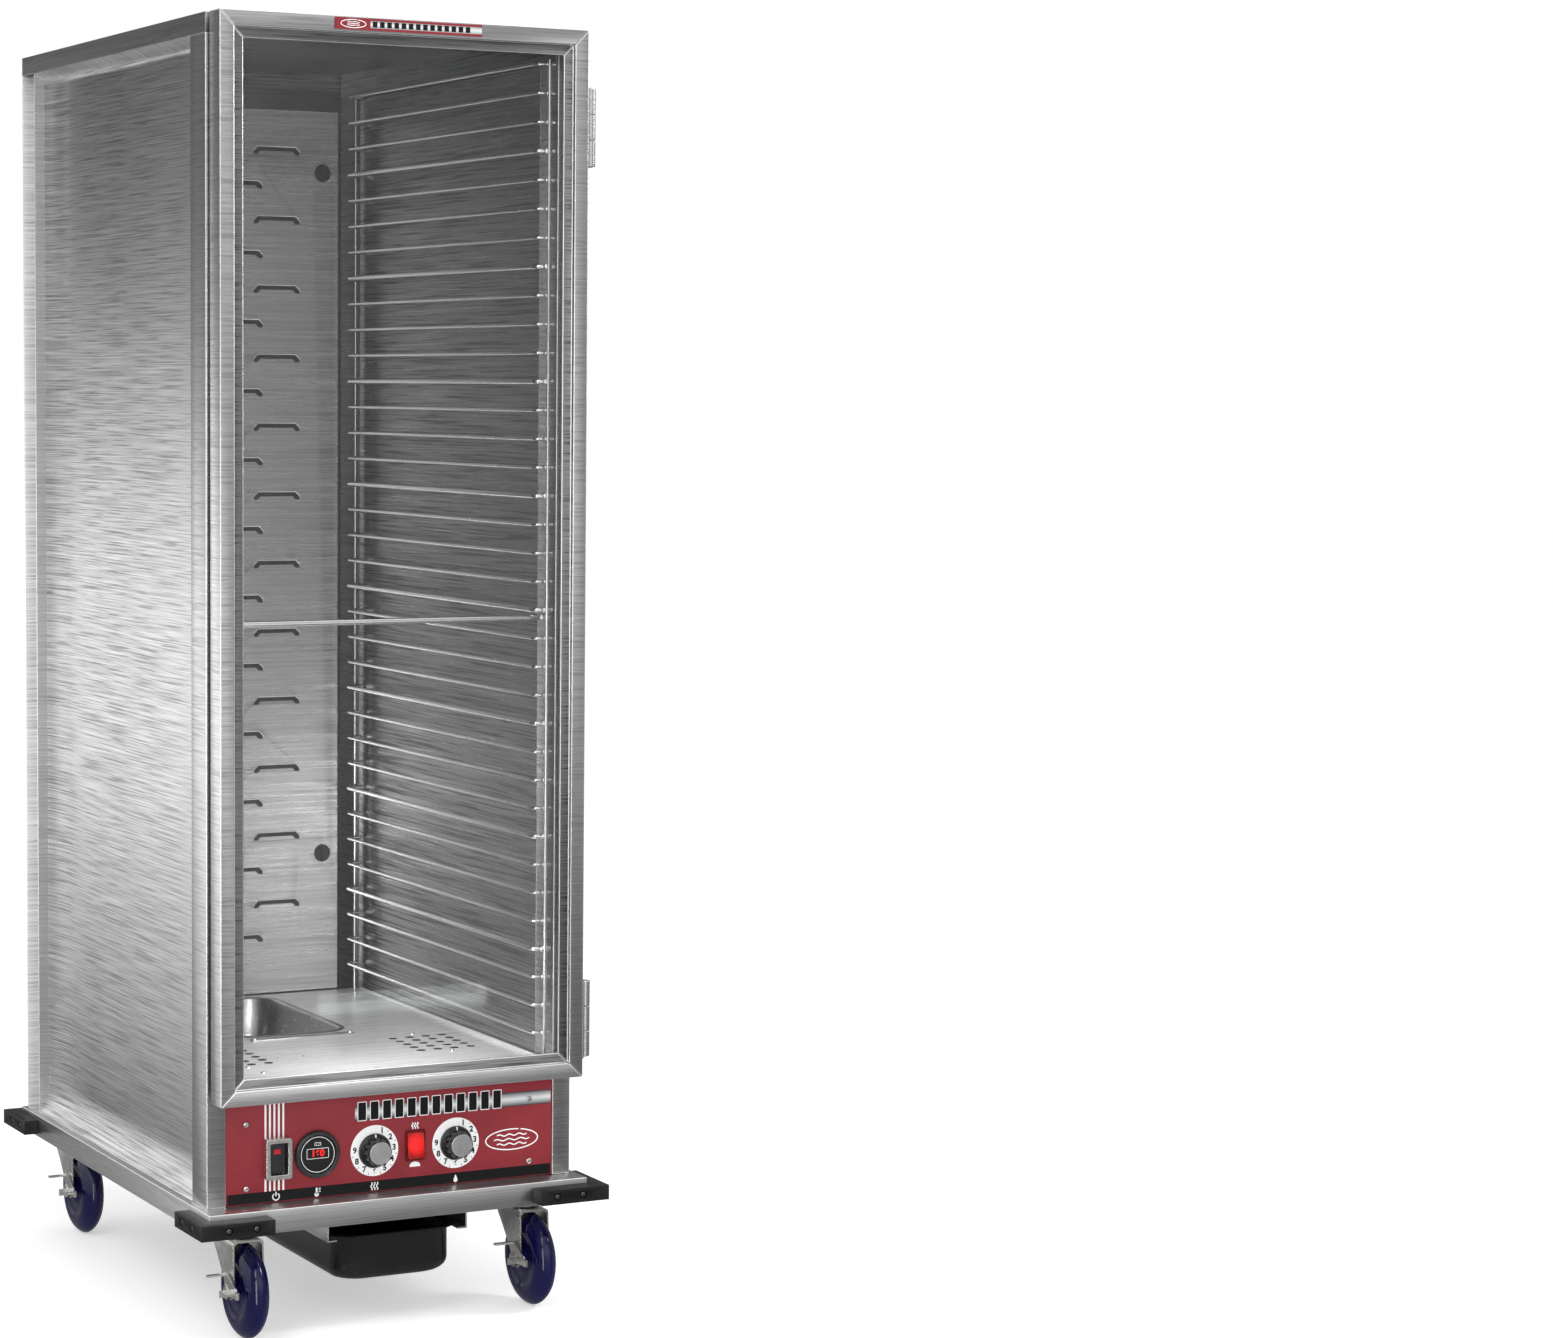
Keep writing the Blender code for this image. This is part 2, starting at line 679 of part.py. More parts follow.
def make_deck():
    across = (-WALL_INNER + GAP, WALL_INNER - GAP)
    deck = part(
        "heater_deck",
        blocks((across, (BODY_FRONT + GAP, DUCT_FRONT - GAP), (PANEL_TOP + GAP, DECK_TOP))),
        "aluminium",
    )
    cut(
        deck,
        blocks(((-0.3, 0.3), (BODY_FRONT + GAP + SHEET, 0.4), (PANEL_TOP - 0.01, DECK_TOP - SHEET))),
    )
    reach = (DECK_TOP - 0.012, DECK_TOP + 0.01)
    holes = blocks(((-PAN_HALF, PAN_HALF), (PAN_FRONT, PAN_BACK), reach))
    for x, y in vent_places():
        prism(circle((x, y), VENT_RADIUS, 6), "Z", reach[0], reach[1], holes)
    cut(deck, holes)
    play, rim, depth, wall, radius = 0.002, 0.007, 0.062, 0.0012, 0.022
    pan = food_pan(
        PAN_HALF - play,
        PAN_FRONT + play,
        PAN_BACK - play,
        PAN_HALF + rim,
        depth,
        DECK_TOP + GAP,
        wall,
        radius,
        ((0.013, 0), (0.0049, 0.008)),
        ((0.0082, wall),),
    )
    part("water_pan", pan, "steel", smooth=True)

    floor = BASE_TOP + GAP
    tray = part(
        "module_tray",
        blocks(((-0.230, 0.230), (-0.353, 0.318), (floor, 0.3125))),
        "dark aluminium",
    )
    cut(tray, blocks(((-0.228, 0.228), (-0.36, 0.33), (floor + SHEET, 0.33))))
    plate = blocks(((-0.062, 0.062), (0.030, 0.262), (0.2585, 0.2640)))
    heater = part("water_heater", plate, "dark aluminium")
    foot, foot_z = 0.008, (floor + SHEET + GAP, 0.2590)
    feet = [((x, x + foot), (y, y + foot), foot_z) for x in (-0.060, 0.052) for y in (0.034, 0.250)]
    join(heater, blocks(*feet))

    curve = bpy.data.curves.new("air_heater", "CURVE")
    curve.dimensions = "3D"
    curve.bevel_depth = 0.004
    curve.bevel_resolution = 1
    curve.use_fill_caps = True
    line = curve.splines.new("POLY")
    runs = [0.105, 0.135, 0.165, 0.195]
    points = []
    for i, x in enumerate(runs):
        ends = (-0.24, -0.06) if i % 2 == 0 else (-0.06, -0.24)
        points += [(x, ends[0], 0.245), (x, ends[1], 0.245)]
    line.points.add(len(points) - 1)
    for spot, place in zip(line.points, points):
        spot.co = (*place, 1.0)
    heat = bpy.data.objects.new("air_heater", curve)
    curve.materials.append(finish("air_heater", "steel"))
    bpy.context.scene.collection.objects.link(heat)


# Controls


def make_knob(name, x):
    face = PANEL_FRONT - GAP
    profile = [(0.023, 0.0), (0.023, -0.003), (0.0175, -0.0045), (0.0160, -0.020), (0.0140, -0.0215)]
    bm = turned(profile, (x, face, CONTROL_Z), "Y", 24)
    part(name, bm, "black plastic", (x, face, CONTROL_Z), smooth=True)


def make_rocker(name, x, z, width, height, kind):
    """A rocker whose faces meet in a shallow V. It tilts about its middle, and rests with its top in."""
    face = PANEL_FRONT - GAP
    half = height / 2
    outline = [
        (face - 0.0046, z - half),
        (face - 0.0068, z - half),
        (face - 0.0048, z),
        (face - 0.0032, z + half),
        (face - 0.0006, z + half),
        (face - 0.0006, z),
    ]
    part(name, prism(outline, "X", x - width / 2, x + width / 2), kind, (x, face - 0.0006, z))


def make_controls():
    face = PANEL_FRONT - GAP
    across = (-WALL_INNER + GAP, WALL_INNER - GAP)
    part(
        "control_panel",
        blocks((across, (PANEL_FRONT, PANEL_FRONT + PANEL_THICK), (PANEL_BOTTOM, PANEL_TOP))),
        "red",
    )

    def around(half_x, half_z, front, back):
        return blocks(
            ((POWER_X - half_x, POWER_X + half_x), (front, back), (POWER_Z - half_z, POWER_Z + half_z))
        )

    guard = part("power_guard", around(0.0183, 0.0270, face - 0.013, face), "steel")
    cut(guard, around(0.0120, 0.0205, face - 0.02, face + 0.01))
    make_rocker("power_switch", POWER_X, POWER_Z, 0.0200, 0.0370, "black plastic")
    make_rocker("mode_switch", MODE_X, MODE_Z, 0.0240, 0.0350, "switch red")
    profile = [(0.0315, 0.0), (0.0315, -0.004), (0.0285, -0.0062), (0.0255, -0.0062), (0.0250, -0.0035)]
    part(
        "thermometer",
        turned(profile, (THERMOMETER_X, face, THERMOMETER_Z), "Y", 28),
        "black plastic",
        smooth=True,
    )
    make_knob("heat_knob", HEAT_X)
    make_knob("humidity_knob", HUMIDITY_X)


# Drip pan


def make_drip_pan():
    back = DRIP_FRONT + DRIP_LENGTH
    top = BASE_BOTTOM - GAP
    low = DRIP_RIM_Z - GAP
    rails = bmesh.new()
    for side in (LEFT, RIGHT):
        leg, foot = side * DRIP_RAIL_X, side * (DRIP_RAIL_X - 0.0115)
        out = side * (DRIP_RAIL_X + SHEET)
        outline = [(leg, top), (leg, low), (foot, low), (foot, low - SHEET), (out, low - SHEET), (out, top)]
        prism([(z, x) for x, z in outline], "Y", DRIP_FRONT + 0.004, back + 0.006, rails)
    cradle = part("drip_pan_cradle", rails, "aluminium")
    stop_half = DRIP_RAIL_X + 0.001
    join(cradle, blocks(((-stop_half, stop_half), (back + 0.002, back + 0.004), (low + 0.002, top - 0.001))))
    rim, depth, wall, radius, foot = 0.009, 0.0605, 0.0025, 0.030, 0.018
    half = DRIP_RIM_HALF - rim

    def curve(reach):
        turns = (math.pi / 2, math.pi / 3, math.pi / 6, 0)
        return [(foot - reach * math.cos(a), foot - reach * math.sin(a)) for a in turns]

    outer, inner = curve(foot), curve(foot - wall)
    front, rear = DRIP_FRONT + rim, back - rim
    pan = food_pan(half, front, rear, DRIP_RIM_HALF, depth, DRIP_RIM_Z, wall, radius, outer, inner)
    part("drip_pan", pan, "black plastic", (0, DRIP_FRONT, DRIP_RIM_Z), smooth=True)


# Door


def door_rail(name, long_axis, sign, kind="aluminium"):
    """One mitred side of the door frame: a square outer bar with a lip over the clear panel's edge."""
    middle = (DOOR_BOTTOM + CAP_TOP) / 2
    halves = {"X": DOOR_HALF, "Z": CAP_TOP - middle}
    across_half = halves["X" if long_axis == "Z" else "Z"] - GAP / 2
    along_half = halves[long_axis] - GAP / 2
    section = [
        (0.0, DOOR_FRONT),
        (STILE, DOOR_FRONT),
        (STILE, DOOR_FRONT + LIP_STEP),
        (STILE + LIP, DOOR_FRONT + LIP_STEP),
        (STILE + LIP, DOOR_FRONT + LIP_STEP + LIP_THICK),
        (STILE, DOOR_FRONT + LIP_STEP + LIP_THICK),
        (STILE, DOOR_BACK),
        (0.0, DOOR_BACK),
    ]
    rings = []
    for end in (-1, 1):
        ring = []
        for inset, y in section:
            across = sign * (across_half - inset)
            along = end * (along_half - inset - GAP)
            if long_axis == "X":
                ring.append(Vector((along, y, middle + across)))
            else:
                ring.append(Vector((across, y, middle + along)))
        rings.append(ring)
    part(name, loft(rings), kind, (HINGE_X, HINGE_Y, middle))


def make_hinge(where, bottom):
    """A butt hinge: the body's leaf has the pin and the middle knuckle, the door's leaf the end ones."""
    top = bottom + HINGE_HEIGHT
    third = HINGE_HEIGHT / 3
    axis = (HINGE_X, HINGE_Y)
    inner = (bottom + third + 0.0005, top - third - 0.0005)
    leaf_x = (BODY_HALF + 0.0006, BODY_HALF + 0.0006 + LEAF)
    leaf = part(
        f"hinge_body_leaf_{where}",
        blocks((leaf_x, (HINGE_Y + 0.018, -0.322), (bottom, top))),
        "steel",
    )
    web_y = (HINGE_Y + 0.0022, HINGE_Y + 0.0022 + LEAF)
    tab_z = (inner[0] + 0.0002, inner[1] - 0.0002)
    tab_x = (leaf_x[0] + 0.0001, leaf_x[1] - 0.0001)
    join(leaf, blocks((tab_x, (web_y[0], HINGE_Y + 0.020), tab_z)))
    bridge_z = (tab_z[0] + 0.0003, tab_z[1] - 0.0003)
    join(leaf, blocks(((tab_x[0] + 0.0004, HINGE_X), (web_y[0] + 0.0003, web_y[1]), bridge_z)))
    join(leaf, prism(circle(axis, KNUCKLE_RADIUS, 12), "Z", *inner))
    join(leaf, prism(circle(axis, PIN_RADIUS, 8), "Z", bottom - 0.001, top + 0.001))

    plate_x = (DOOR_HALF + GAP, DOOR_HALF + GAP + LEAF - 0.0002)
    swing = part(
        f"hinge_door_leaf_{where}",
        blocks((plate_x, (-0.4000, -0.3690), (bottom, top))),
        "steel",
        (HINGE_X, HINGE_Y, bottom),
    )
    ends = ((bottom, bottom + third), (top - third, top))
    bridge_x, bridge_y = (plate_x[0] + 0.0005, HINGE_X), (HINGE_Y - 0.0047, HINGE_Y - 0.0022)
    join(swing, blocks(*((bridge_x, bridge_y, (low + 0.0003, high - 0.0003)) for low, high in ends)))
    knuckles = bmesh.new()
    for low, high in ends:
        prism(circle(axis, KNUCKLE_RADIUS, 12), "Z", low + 0.0001, high - 0.0001, knuckles)
    join(swing, knuckles)
    cut(swing, prism(circle(axis, PIN_RADIUS + 0.0004, 8), "Z", bottom - 0.01, top + 0.01))


def make_door():
    door_rail("door_rail_top", "X", 1)
    door_rail("door_rail_bottom", "X", -1)
    door_rail("door_stile_left", "Z", -1)
    door_rail("door_stile_right", "Z", 1)
    middle = (DOOR_BOTTOM + CAP_TOP) / 2
    origin = (HINGE_X, HINGE_Y, middle)
    inset = STILE + 0.0006
    half = DOOR_HALF - inset
    low, high = DOOR_BOTTOM + inset, CAP_TOP - inset
    behind = DOOR_FRONT + LIP_STEP + LIP_THICK + GAP
    part(
        "door_panel",
        blocks(((-half, half), (behind, behind + GLASS_THICK), (low, high))),
        "clear",
        origin,
    )
    seal_y = (DOOR_BACK + GAP, BODY_FRONT - GAP)
    seal_z = (GASKET_BOTTOM, GASKET_TOP)
    seal = part("door_gasket", blocks(((-GASKET_HALF, GASKET_HALF), seal_y, seal_z)), "rubber", origin)
    inside = GASKET_HALF - GASKET_WIDTH
    hole_z = (GASKET_BOTTOM + GASKET_WIDTH, GASKET_TOP - GASKET_WIDTH)
    cut(seal, blocks(((-inside, inside), (DOOR_BACK - 0.01, BODY_FRONT + 0.01), hole_z)))
    for where, bottom in HINGE_BOTTOMS.items():
        make_hinge(where, bottom)


make_base()
for end_name in CASTER_Y:
    make_caster(LEFT, end_name, "left")
    make_caster(RIGHT, end_name, "right")
make_shell()
make_racks()
make_duct()
make_deck()
make_controls()
make_drip_pan()
make_door()
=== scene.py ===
"""Proofing cabinet: the detailed pieces, materials, floor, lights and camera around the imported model."""

import json
import math

import bmesh
import bpy
from mathutils import Matrix, Vector


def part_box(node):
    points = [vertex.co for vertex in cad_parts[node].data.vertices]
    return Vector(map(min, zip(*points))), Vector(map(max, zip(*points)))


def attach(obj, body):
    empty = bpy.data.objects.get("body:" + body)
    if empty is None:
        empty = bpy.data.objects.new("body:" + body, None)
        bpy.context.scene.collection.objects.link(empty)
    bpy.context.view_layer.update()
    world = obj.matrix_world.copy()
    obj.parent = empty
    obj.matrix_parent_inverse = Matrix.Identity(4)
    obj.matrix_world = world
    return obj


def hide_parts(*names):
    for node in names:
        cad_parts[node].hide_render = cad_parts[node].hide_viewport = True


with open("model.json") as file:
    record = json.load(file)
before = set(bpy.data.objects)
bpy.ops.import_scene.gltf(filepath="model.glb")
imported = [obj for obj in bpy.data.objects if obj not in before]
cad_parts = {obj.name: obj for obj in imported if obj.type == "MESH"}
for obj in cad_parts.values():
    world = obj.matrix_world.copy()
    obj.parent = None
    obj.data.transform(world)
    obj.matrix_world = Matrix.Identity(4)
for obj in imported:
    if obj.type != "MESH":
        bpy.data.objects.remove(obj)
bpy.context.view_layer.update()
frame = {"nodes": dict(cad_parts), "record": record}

LEFT, RIGHT = -1, 1
SIDES = ((LEFT, "left"), (RIGHT, "right"))
ENDS = (("front", -1), ("rear", 1))
BODY_OF = {node: body for body, nodes in frame["record"]["behaviour"]["bodies"].items() for node in nodes}
ROOT = BODY_OF["base_frame"]
DOOR = BODY_OF["door_panel"]

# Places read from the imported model
SIDE_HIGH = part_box("side_panel_right")[1]
DUCT_LOW, DUCT_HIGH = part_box("duct_panel")
DECK_LOW, DECK_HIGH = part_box("heater_deck")
PANEL_LOW, PANEL_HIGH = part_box("control_panel")
THERMO_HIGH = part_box("thermometer")[1]
GUARD_LOW, GUARD_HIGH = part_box("power_guard")
MODE_LOW, MODE_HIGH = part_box("mode_switch")
RAIL_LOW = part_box("door_rail_top")[0]
BACK_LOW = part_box("back_panel")[0]

SHEET = 0.002
PAST_REAR = 0.42
WALL_INNER = 0.2345
WALL_OUTER = 0.2365
CHANNEL_FRONT = 0.3405
FIN = 0.0025
SLIDES = 35
SLIDE_PITCH = 0.0381
TOP_SLIDE = 1.6678
SLIDE_X = 0.209
SLIDE_FRONT = -0.35
SLIDE_BACK = 0.305
WIRE = 0.0048
HEAVY_WIRE = 0.007
HEAVY_EVERY = 4
UPRIGHT_X = 0.2235
UPRIGHT_OFFSET = 0.0042
TIE_SLIDE = 20
WHEEL_RADIUS = 0.0635
CASTER_TRAIL = 0.024


# Materials


class Nodes:
    """A material's node tree, with short calls for what the finishes share."""

    def __init__(self, name, shader="ShaderNodeBsdfPrincipled"):
        self.material = bpy.data.materials.new(name)
        self.material.use_nodes = True
        self.tree = self.material.node_tree
        self.tree.nodes.clear()
        self.shader = self.add(shader)
        self.put(self.add("ShaderNodeOutputMaterial").inputs[0], self.shader.outputs[0])
        self.place = self.add("ShaderNodeTexCoord").outputs["Object"]

    def add(self, kind, **settings):
        node = self.tree.nodes.new(kind)
        for key, value in settings.items():
            setattr(node, key, value)
        return node

    def put(self, socket, value):
        if isinstance(value, bpy.types.NodeSocket):
            self.tree.links.new(value, socket)
        else:
            socket.default_value = value

    def sets(self, **values):
        for key, value in values.items():
            self.put(self.shader.inputs[key.replace("_", " ")], value)

    def maths(self, operation, *values):
        node = self.add("ShaderNodeMath", operation=operation)
        for socket, value in zip(node.inputs, values):
            self.put(socket, value)
        return node.outputs[0]

    def noise(self, vector, scale, detail=2.0, roughness=0.5):
        node = self.add("ShaderNodeTexNoise")
        self.put(node.inputs["Vector"], vector)
        for key, value in (("Scale", scale), ("Detail", detail), ("Roughness", roughness)):
            node.inputs[key].default_value = value
        return node.outputs["Fac"]

    def split(self, vector):
        node = self.add("ShaderNodeSeparateXYZ")
        self.put(node.inputs[0], vector)
        return node.outputs

    def stretched(self, scale):
        node = self.add("ShaderNodeVectorMath", operation="MULTIPLY")
        self.put(node.inputs[0], self.place)
        self.put(node.inputs[1], scale)
        return node.outputs[0]

    def ranged(self, value, low, high, to_low=0.0, to_high=1.0):
        node = self.add("ShaderNodeMapRange")
        for socket, number in zip(node.inputs, (value, low, high, to_low, to_high)):
            self.put(socket, number)
        return node.outputs[0]

    def mixed(self, share, first, second):
        node = self.add("ShaderNodeMix", data_type="RGBA")
        self.put(node.inputs["Factor"], share)
        for socket, colour in zip((node.inputs[6], node.inputs[7]), (first, second)):
            self.put(socket, colour if isinstance(colour, bpy.types.NodeSocket) else (*colour, 1.0))
        return node.outputs[2]

    def bumped(self, height, distance, strength):
        node = self.add("ShaderNodeBump")
        for key, value in (("Height", height), ("Distance", distance), ("Strength", strength)):
            self.put(node.inputs[key], value)
        self.sets(Normal=node.outputs[0])

    def worn(self, base, share, colour):
        """The base colour, turned towards another along the outer edges: scuffing on plastics, a painted
        highlight on metals and on the bumper rubber.
        """
        edges = self.ranged(self.add("ShaderNodeNewGeometry").outputs["Pointiness"], 0.51, 0.56)
        return self.mixed(self.maths("MULTIPLY", edges, share), base, colour)


def greys(tone, share, tint=(1.0, 1.0, 1.0)):
    """A share of a grey tone, no brighter than white, with a tint over it."""
    return tuple(min(1.0, tone * share) * c for c in tint)


def shades(colour, share):
    """A colour made darker or lighter."""
    return tuple(min(1.0, c * share) for c in colour)


def flat_or_upright(nodes, along, across):
    """Scale that packs detail across a horizontal grain: in Z on upright faces, in Y on flat ones."""
    normal = nodes.split(nodes.add("ShaderNodeNewGeometry").outputs["Normal"])
    flat = nodes.maths("GREATER_THAN", nodes.maths("ABSOLUTE", normal[2]), 0.75)
    scale = nodes.add("ShaderNodeCombineXYZ")
    packed = (along, nodes.ranged(flat, 0.0, 1.0, along, across), nodes.ranged(flat, 0.0, 1.0, across, along))
    for socket, value in zip(scale.inputs, packed):
        nodes.put(socket, value)
    return scale.outputs[0]


def brushed(name, tone, roughness, streaks, along=10.0, across=420.0, metallic=1.0):
    """Brushed sheet metal with a horizontal grain, dark streaks, faint smudges and a painted highlight along
    the outer edges.
    """
    nodes = Nodes(name)
    fine = nodes.noise(nodes.stretched(flat_or_upright(nodes, along * 0.5, 620.0)), 1.0, 1.0)
    coarse = nodes.noise(nodes.stretched(flat_or_upright(nodes, along, across)), 1.0)
    smudge = nodes.noise(nodes.place, 4.0, 4.0, 0.6)
    base = nodes.mixed(nodes.ranged(fine, 0.3, 0.7), greys(tone, 0.7), greys(tone, 1.25))
    base = nodes.mixed(nodes.ranged(coarse, 0.52, 0.64, 0.0, streaks), base, greys(tone, 0.2))
    base = nodes.mixed(nodes.ranged(coarse, 0.43, 0.32, 0.0, streaks * 0.5), base, greys(tone, 1.5))
    # The outer edges turn lighter: a painted highlight.
    nodes.sets(Base_Color=nodes.worn(base, 0.5, greys(tone, 1.8)), Metallic=metallic)
    nodes.sets(Anisotropic=0.5, Anisotropic_Rotation=0.25)
    nodes.sets(Tangent=nodes.add("ShaderNodeTangent", direction_type="RADIAL", axis="Z").outputs[0])
    grain = nodes.ranged(coarse, 0.3, 0.7, roughness - 0.05, roughness + 0.08)
    nodes.sets(Roughness=nodes.maths("ADD", grain, nodes.maths("MULTIPLY", smudge, 0.05)))
    nodes.bumped(nodes.maths("ADD", nodes.maths("MULTIPLY", fine, 0.3), coarse), 0.00002, 0.4)
    return nodes.material


def plated(name, tone, roughness, spots, tint=(1.0, 1.0, 1.0)):
    """Plated or drawn steel: even metal with fine mottling, faint scratches and a painted highlight along the
    edges.
    """
    nodes = Nodes(name)
    mottle = nodes.noise(nodes.place, 160.0, 3.0, 0.6)
    scratch = nodes.noise(nodes.stretched((900.0, 60.0, 60.0)), 1.0)
    base = nodes.mixed(mottle, greys(tone, 1.0 - spots, tint), greys(tone, 1.0 + spots, tint))
    # The outer edges turn lighter: a painted highlight.
    nodes.sets(Base_Color=nodes.worn(base, 0.5, greys(tone, 1.5, tint)), Metallic=1.0)
    gloss = nodes.maths("ADD", mottle, scratch)
    nodes.sets(Roughness=nodes.ranged(gloss, 0.7, 1.3, roughness - 0.05, roughness + 0.1))
    nodes.bumped(scratch, 0.00004, 0.4)
    return nodes.material


SCUFFED = (0.1, 0.1, 0.11)


def moulded(name, colour, roughness, grain=900.0, depth=0.00008, worn=SCUFFED, scuff_and_sheen_share=0.25, **values):
    """Moulded plastic or rubber: fine surface texture, uneven gloss, and edges turned towards a second
    colour, scuffing on most plastics and a painted highlight on the bumpers.
    """
    nodes = Nodes(name)
    fine = nodes.noise(nodes.place, grain)
    patch = nodes.noise(nodes.place, 22.0, 4.0, 0.6)
    base = nodes.mixed(nodes.ranged(patch, 0.3, 0.7), shades(colour, 0.82), shades(colour, 1.18))
    nodes.sets(Base_Color=nodes.worn(base, scuff_and_sheen_share, worn), **values)
    gloss = nodes.maths("ADD", fine, patch)
    nodes.sets(Roughness=nodes.ranged(gloss, 0.6, 1.4, roughness - 0.06, roughness + 0.1))
    nodes.bumped(fine, depth, 0.5)
    return nodes.material


def glowing(name, colour, strength, centre, reach):
    """A lit lens: brightest in its middle and darker towards its rim."""
    nodes = Nodes(name)
    away = nodes.add("ShaderNodeVectorMath", operation="DISTANCE")
    nodes.put(away.inputs[0], nodes.place)
    nodes.put(away.inputs[1], centre)
    glow = nodes.ranged(away.outputs["Value"], 0.0, reach, 1.0, 0.0)
    facets = nodes.noise(nodes.place, 500.0, 1.0)
    base = nodes.mixed(glow, shades(colour, 0.25), colour)
    nodes.sets(Base_Color=base, Roughness=nodes.ranged(facets, 0.3, 0.7, 0.12, 0.3))
    nodes.sets(Emission_Color=nodes.mixed(glow, shades(colour, 0.15), colour), Emission_Strength=strength)
    nodes.bumped(facets, 0.0001, 0.4)
    return nodes.material


def clear_sheet(name):
    """A clear polycarbonate sheet: nearly all light passes, with faint wipe marks in its gloss."""
    nodes = Nodes(name)
    wipes = nodes.noise(nodes.stretched((3.0, 3.0, 14.0)), 1.0, 4.0, 0.6)
    nodes.sets(Base_Color=nodes.mixed(wipes, (0.2, 0.21, 0.21), (0.3, 0.31, 0.31)), Alpha=0.05)
    nodes.sets(Roughness=nodes.ranged(wipes, 0.3, 0.7, 0.03, 0.1), IOR=1.45)
    nodes.bumped(wipes, 0.0002, 0.1)
    return nodes.material


def printed(name, colour):
    """Screen print: a flat ink with slight mottling and a soft sheen."""
    nodes = Nodes(name)
    nodes.sets(Specular_IOR_Level=0.2)
    mottle = nodes.noise(nodes.place, 240.0, 3.0, 0.6)
    nodes.sets(Base_Color=nodes.mixed(mottle, shades(colour, 0.88), shades(colour, 1.08)))
    nodes.sets(Roughness=nodes.ranged(mottle, 0.3, 0.7, 0.34, 0.48))
    nodes.bumped(mottle, 0.00003, 0.3)
    return nodes.material


def silvered(name, low, high):
    """Silver foil print with a painted highlight across it: dark along both edges and bright in the middle.
    """
    nodes = Nodes(name)
    away = nodes.maths("ABSOLUTE", nodes.ranged(nodes.split(nodes.place)[2], low, high, -1.0, 1.0))
    mottle = nodes.noise(nodes.stretched((6.0, 6.0, 900.0)), 1.0)
    painted_sheen = nodes.ranged(nodes.maths("ADD", away, nodes.maths("MULTIPLY", mottle, 0.3)), 0.15, 1.1)
    nodes.sets(Base_Color=nodes.mixed(painted_sheen, (0.62, 0.63, 0.64), (0.04, 0.045, 0.05)))
    nodes.sets(Roughness=nodes.ranged(mottle, 0.3, 0.7, 0.35, 0.5), Specular_IOR_Level=0.3)
    nodes.bumped(mottle, 0.00002, 0.2)
    return nodes.material


ALUMINIUM = brushed("brushed_aluminium", 0.5, 0.28, 0.6, along=9.0, across=520.0)
# A lighter copy of the side aluminium for the rear channel: painted light.
CHANNEL_LIT_METAL = brushed("channel_aluminium_painted_light", 0.8, 0.34, 0.4, metallic=0.6)
CAP_METAL = brushed("cap_aluminium", 0.34, 0.3, 0.7)
RAIL_METAL = brushed("rail_aluminium", 0.46, 0.28, 0.75)
STILE_METAL = brushed("stile_aluminium", 0.42, 0.28, 0.8, along=14.0)
# A darker copy of the rail aluminium for the door's recessed lip: painted shade.
LIP_SHADED_METAL = brushed("lip_aluminium_painted_shade", 0.25, 0.3, 0.8)
POST_METAL = brushed("post_aluminium", 0.38, 0.28, 0.8, along=14.0)
BASE_METAL = brushed("base_aluminium", 0.52, 0.28, 0.75)
# A darker copy of the aluminium for the duct: painted shade inside the cabinet.
INNER_SHADED_METAL = brushed("duct_aluminium_painted_shade", 0.4, 0.26, 0.6, along=5.0, across=330.0, metallic=0.75)
# A darker copy for the inner side walls: painted shade.
WALL_SHADED_METAL = brushed("wall_aluminium_painted_shade", 0.29, 0.28, 0.9, along=7.0, across=380.0)
# Near-white metal for the louvre rims: a painted highlight along the slot edges.
LOUVRE_HIGHLIGHT_METAL = brushed("louvre_painted_highlight", 1.0, 0.3, 0.1, metallic=0.3)
# A much lighter copy for the deck: painted light on the floor of the cabinet.
DECK_LIT_METAL = brushed("deck_aluminium_painted_light", 0.95, 0.28, 0.4, along=8.0, across=300.0, metallic=0.4)
BACK_METAL = brushed("back_aluminium", 0.42, 0.3, 0.5)
# A near-white metal for rounded edges: a painted edge highlight.
EDGE_HIGHLIGHT_METAL = plated("painted_edge_highlight", 0.92, 0.34, 0.05)
RACK_STEEL = plated("slide_steel", 0.85, 0.18, 0.1)
STEEL = brushed("hinge_steel", 0.5, 0.26, 0.4, along=30.0)
CAP_STEEL = plated("knob_cap_steel", 0.62, 0.34, 0.15)
PAN_STEEL = plated("pan_steel", 0.34, 0.3, 0.08)
ZINC = plated("zinc_plate", 0.66, 0.26, 0.14, (1.0, 0.99, 0.96))
SCREW = plated("screw_steel", 0.7, 0.22, 0.12)
DARK_SCREW = plated("dark_screw_steel", 0.16, 0.28, 0.2)
MODULE_METAL = brushed("module_metal", 0.34, 0.36, 0.3)
BLACK = moulded("black_plastic", (0.008, 0.008, 0.009), 0.36, Specular_IOR_Level=0.25)
DIAL_BLACK = moulded("knob_black", (0.008, 0.008, 0.009), 0.24, 1400.0, 0.00003, Specular_IOR_Level=0.5)
DRIP_BLACK = moulded(
    "pan_black", (0.009, 0.009, 0.01), 0.2, 300.0, 0.00001, scuff_and_sheen_share=0.05, Specular_IOR_Level=0.35
)
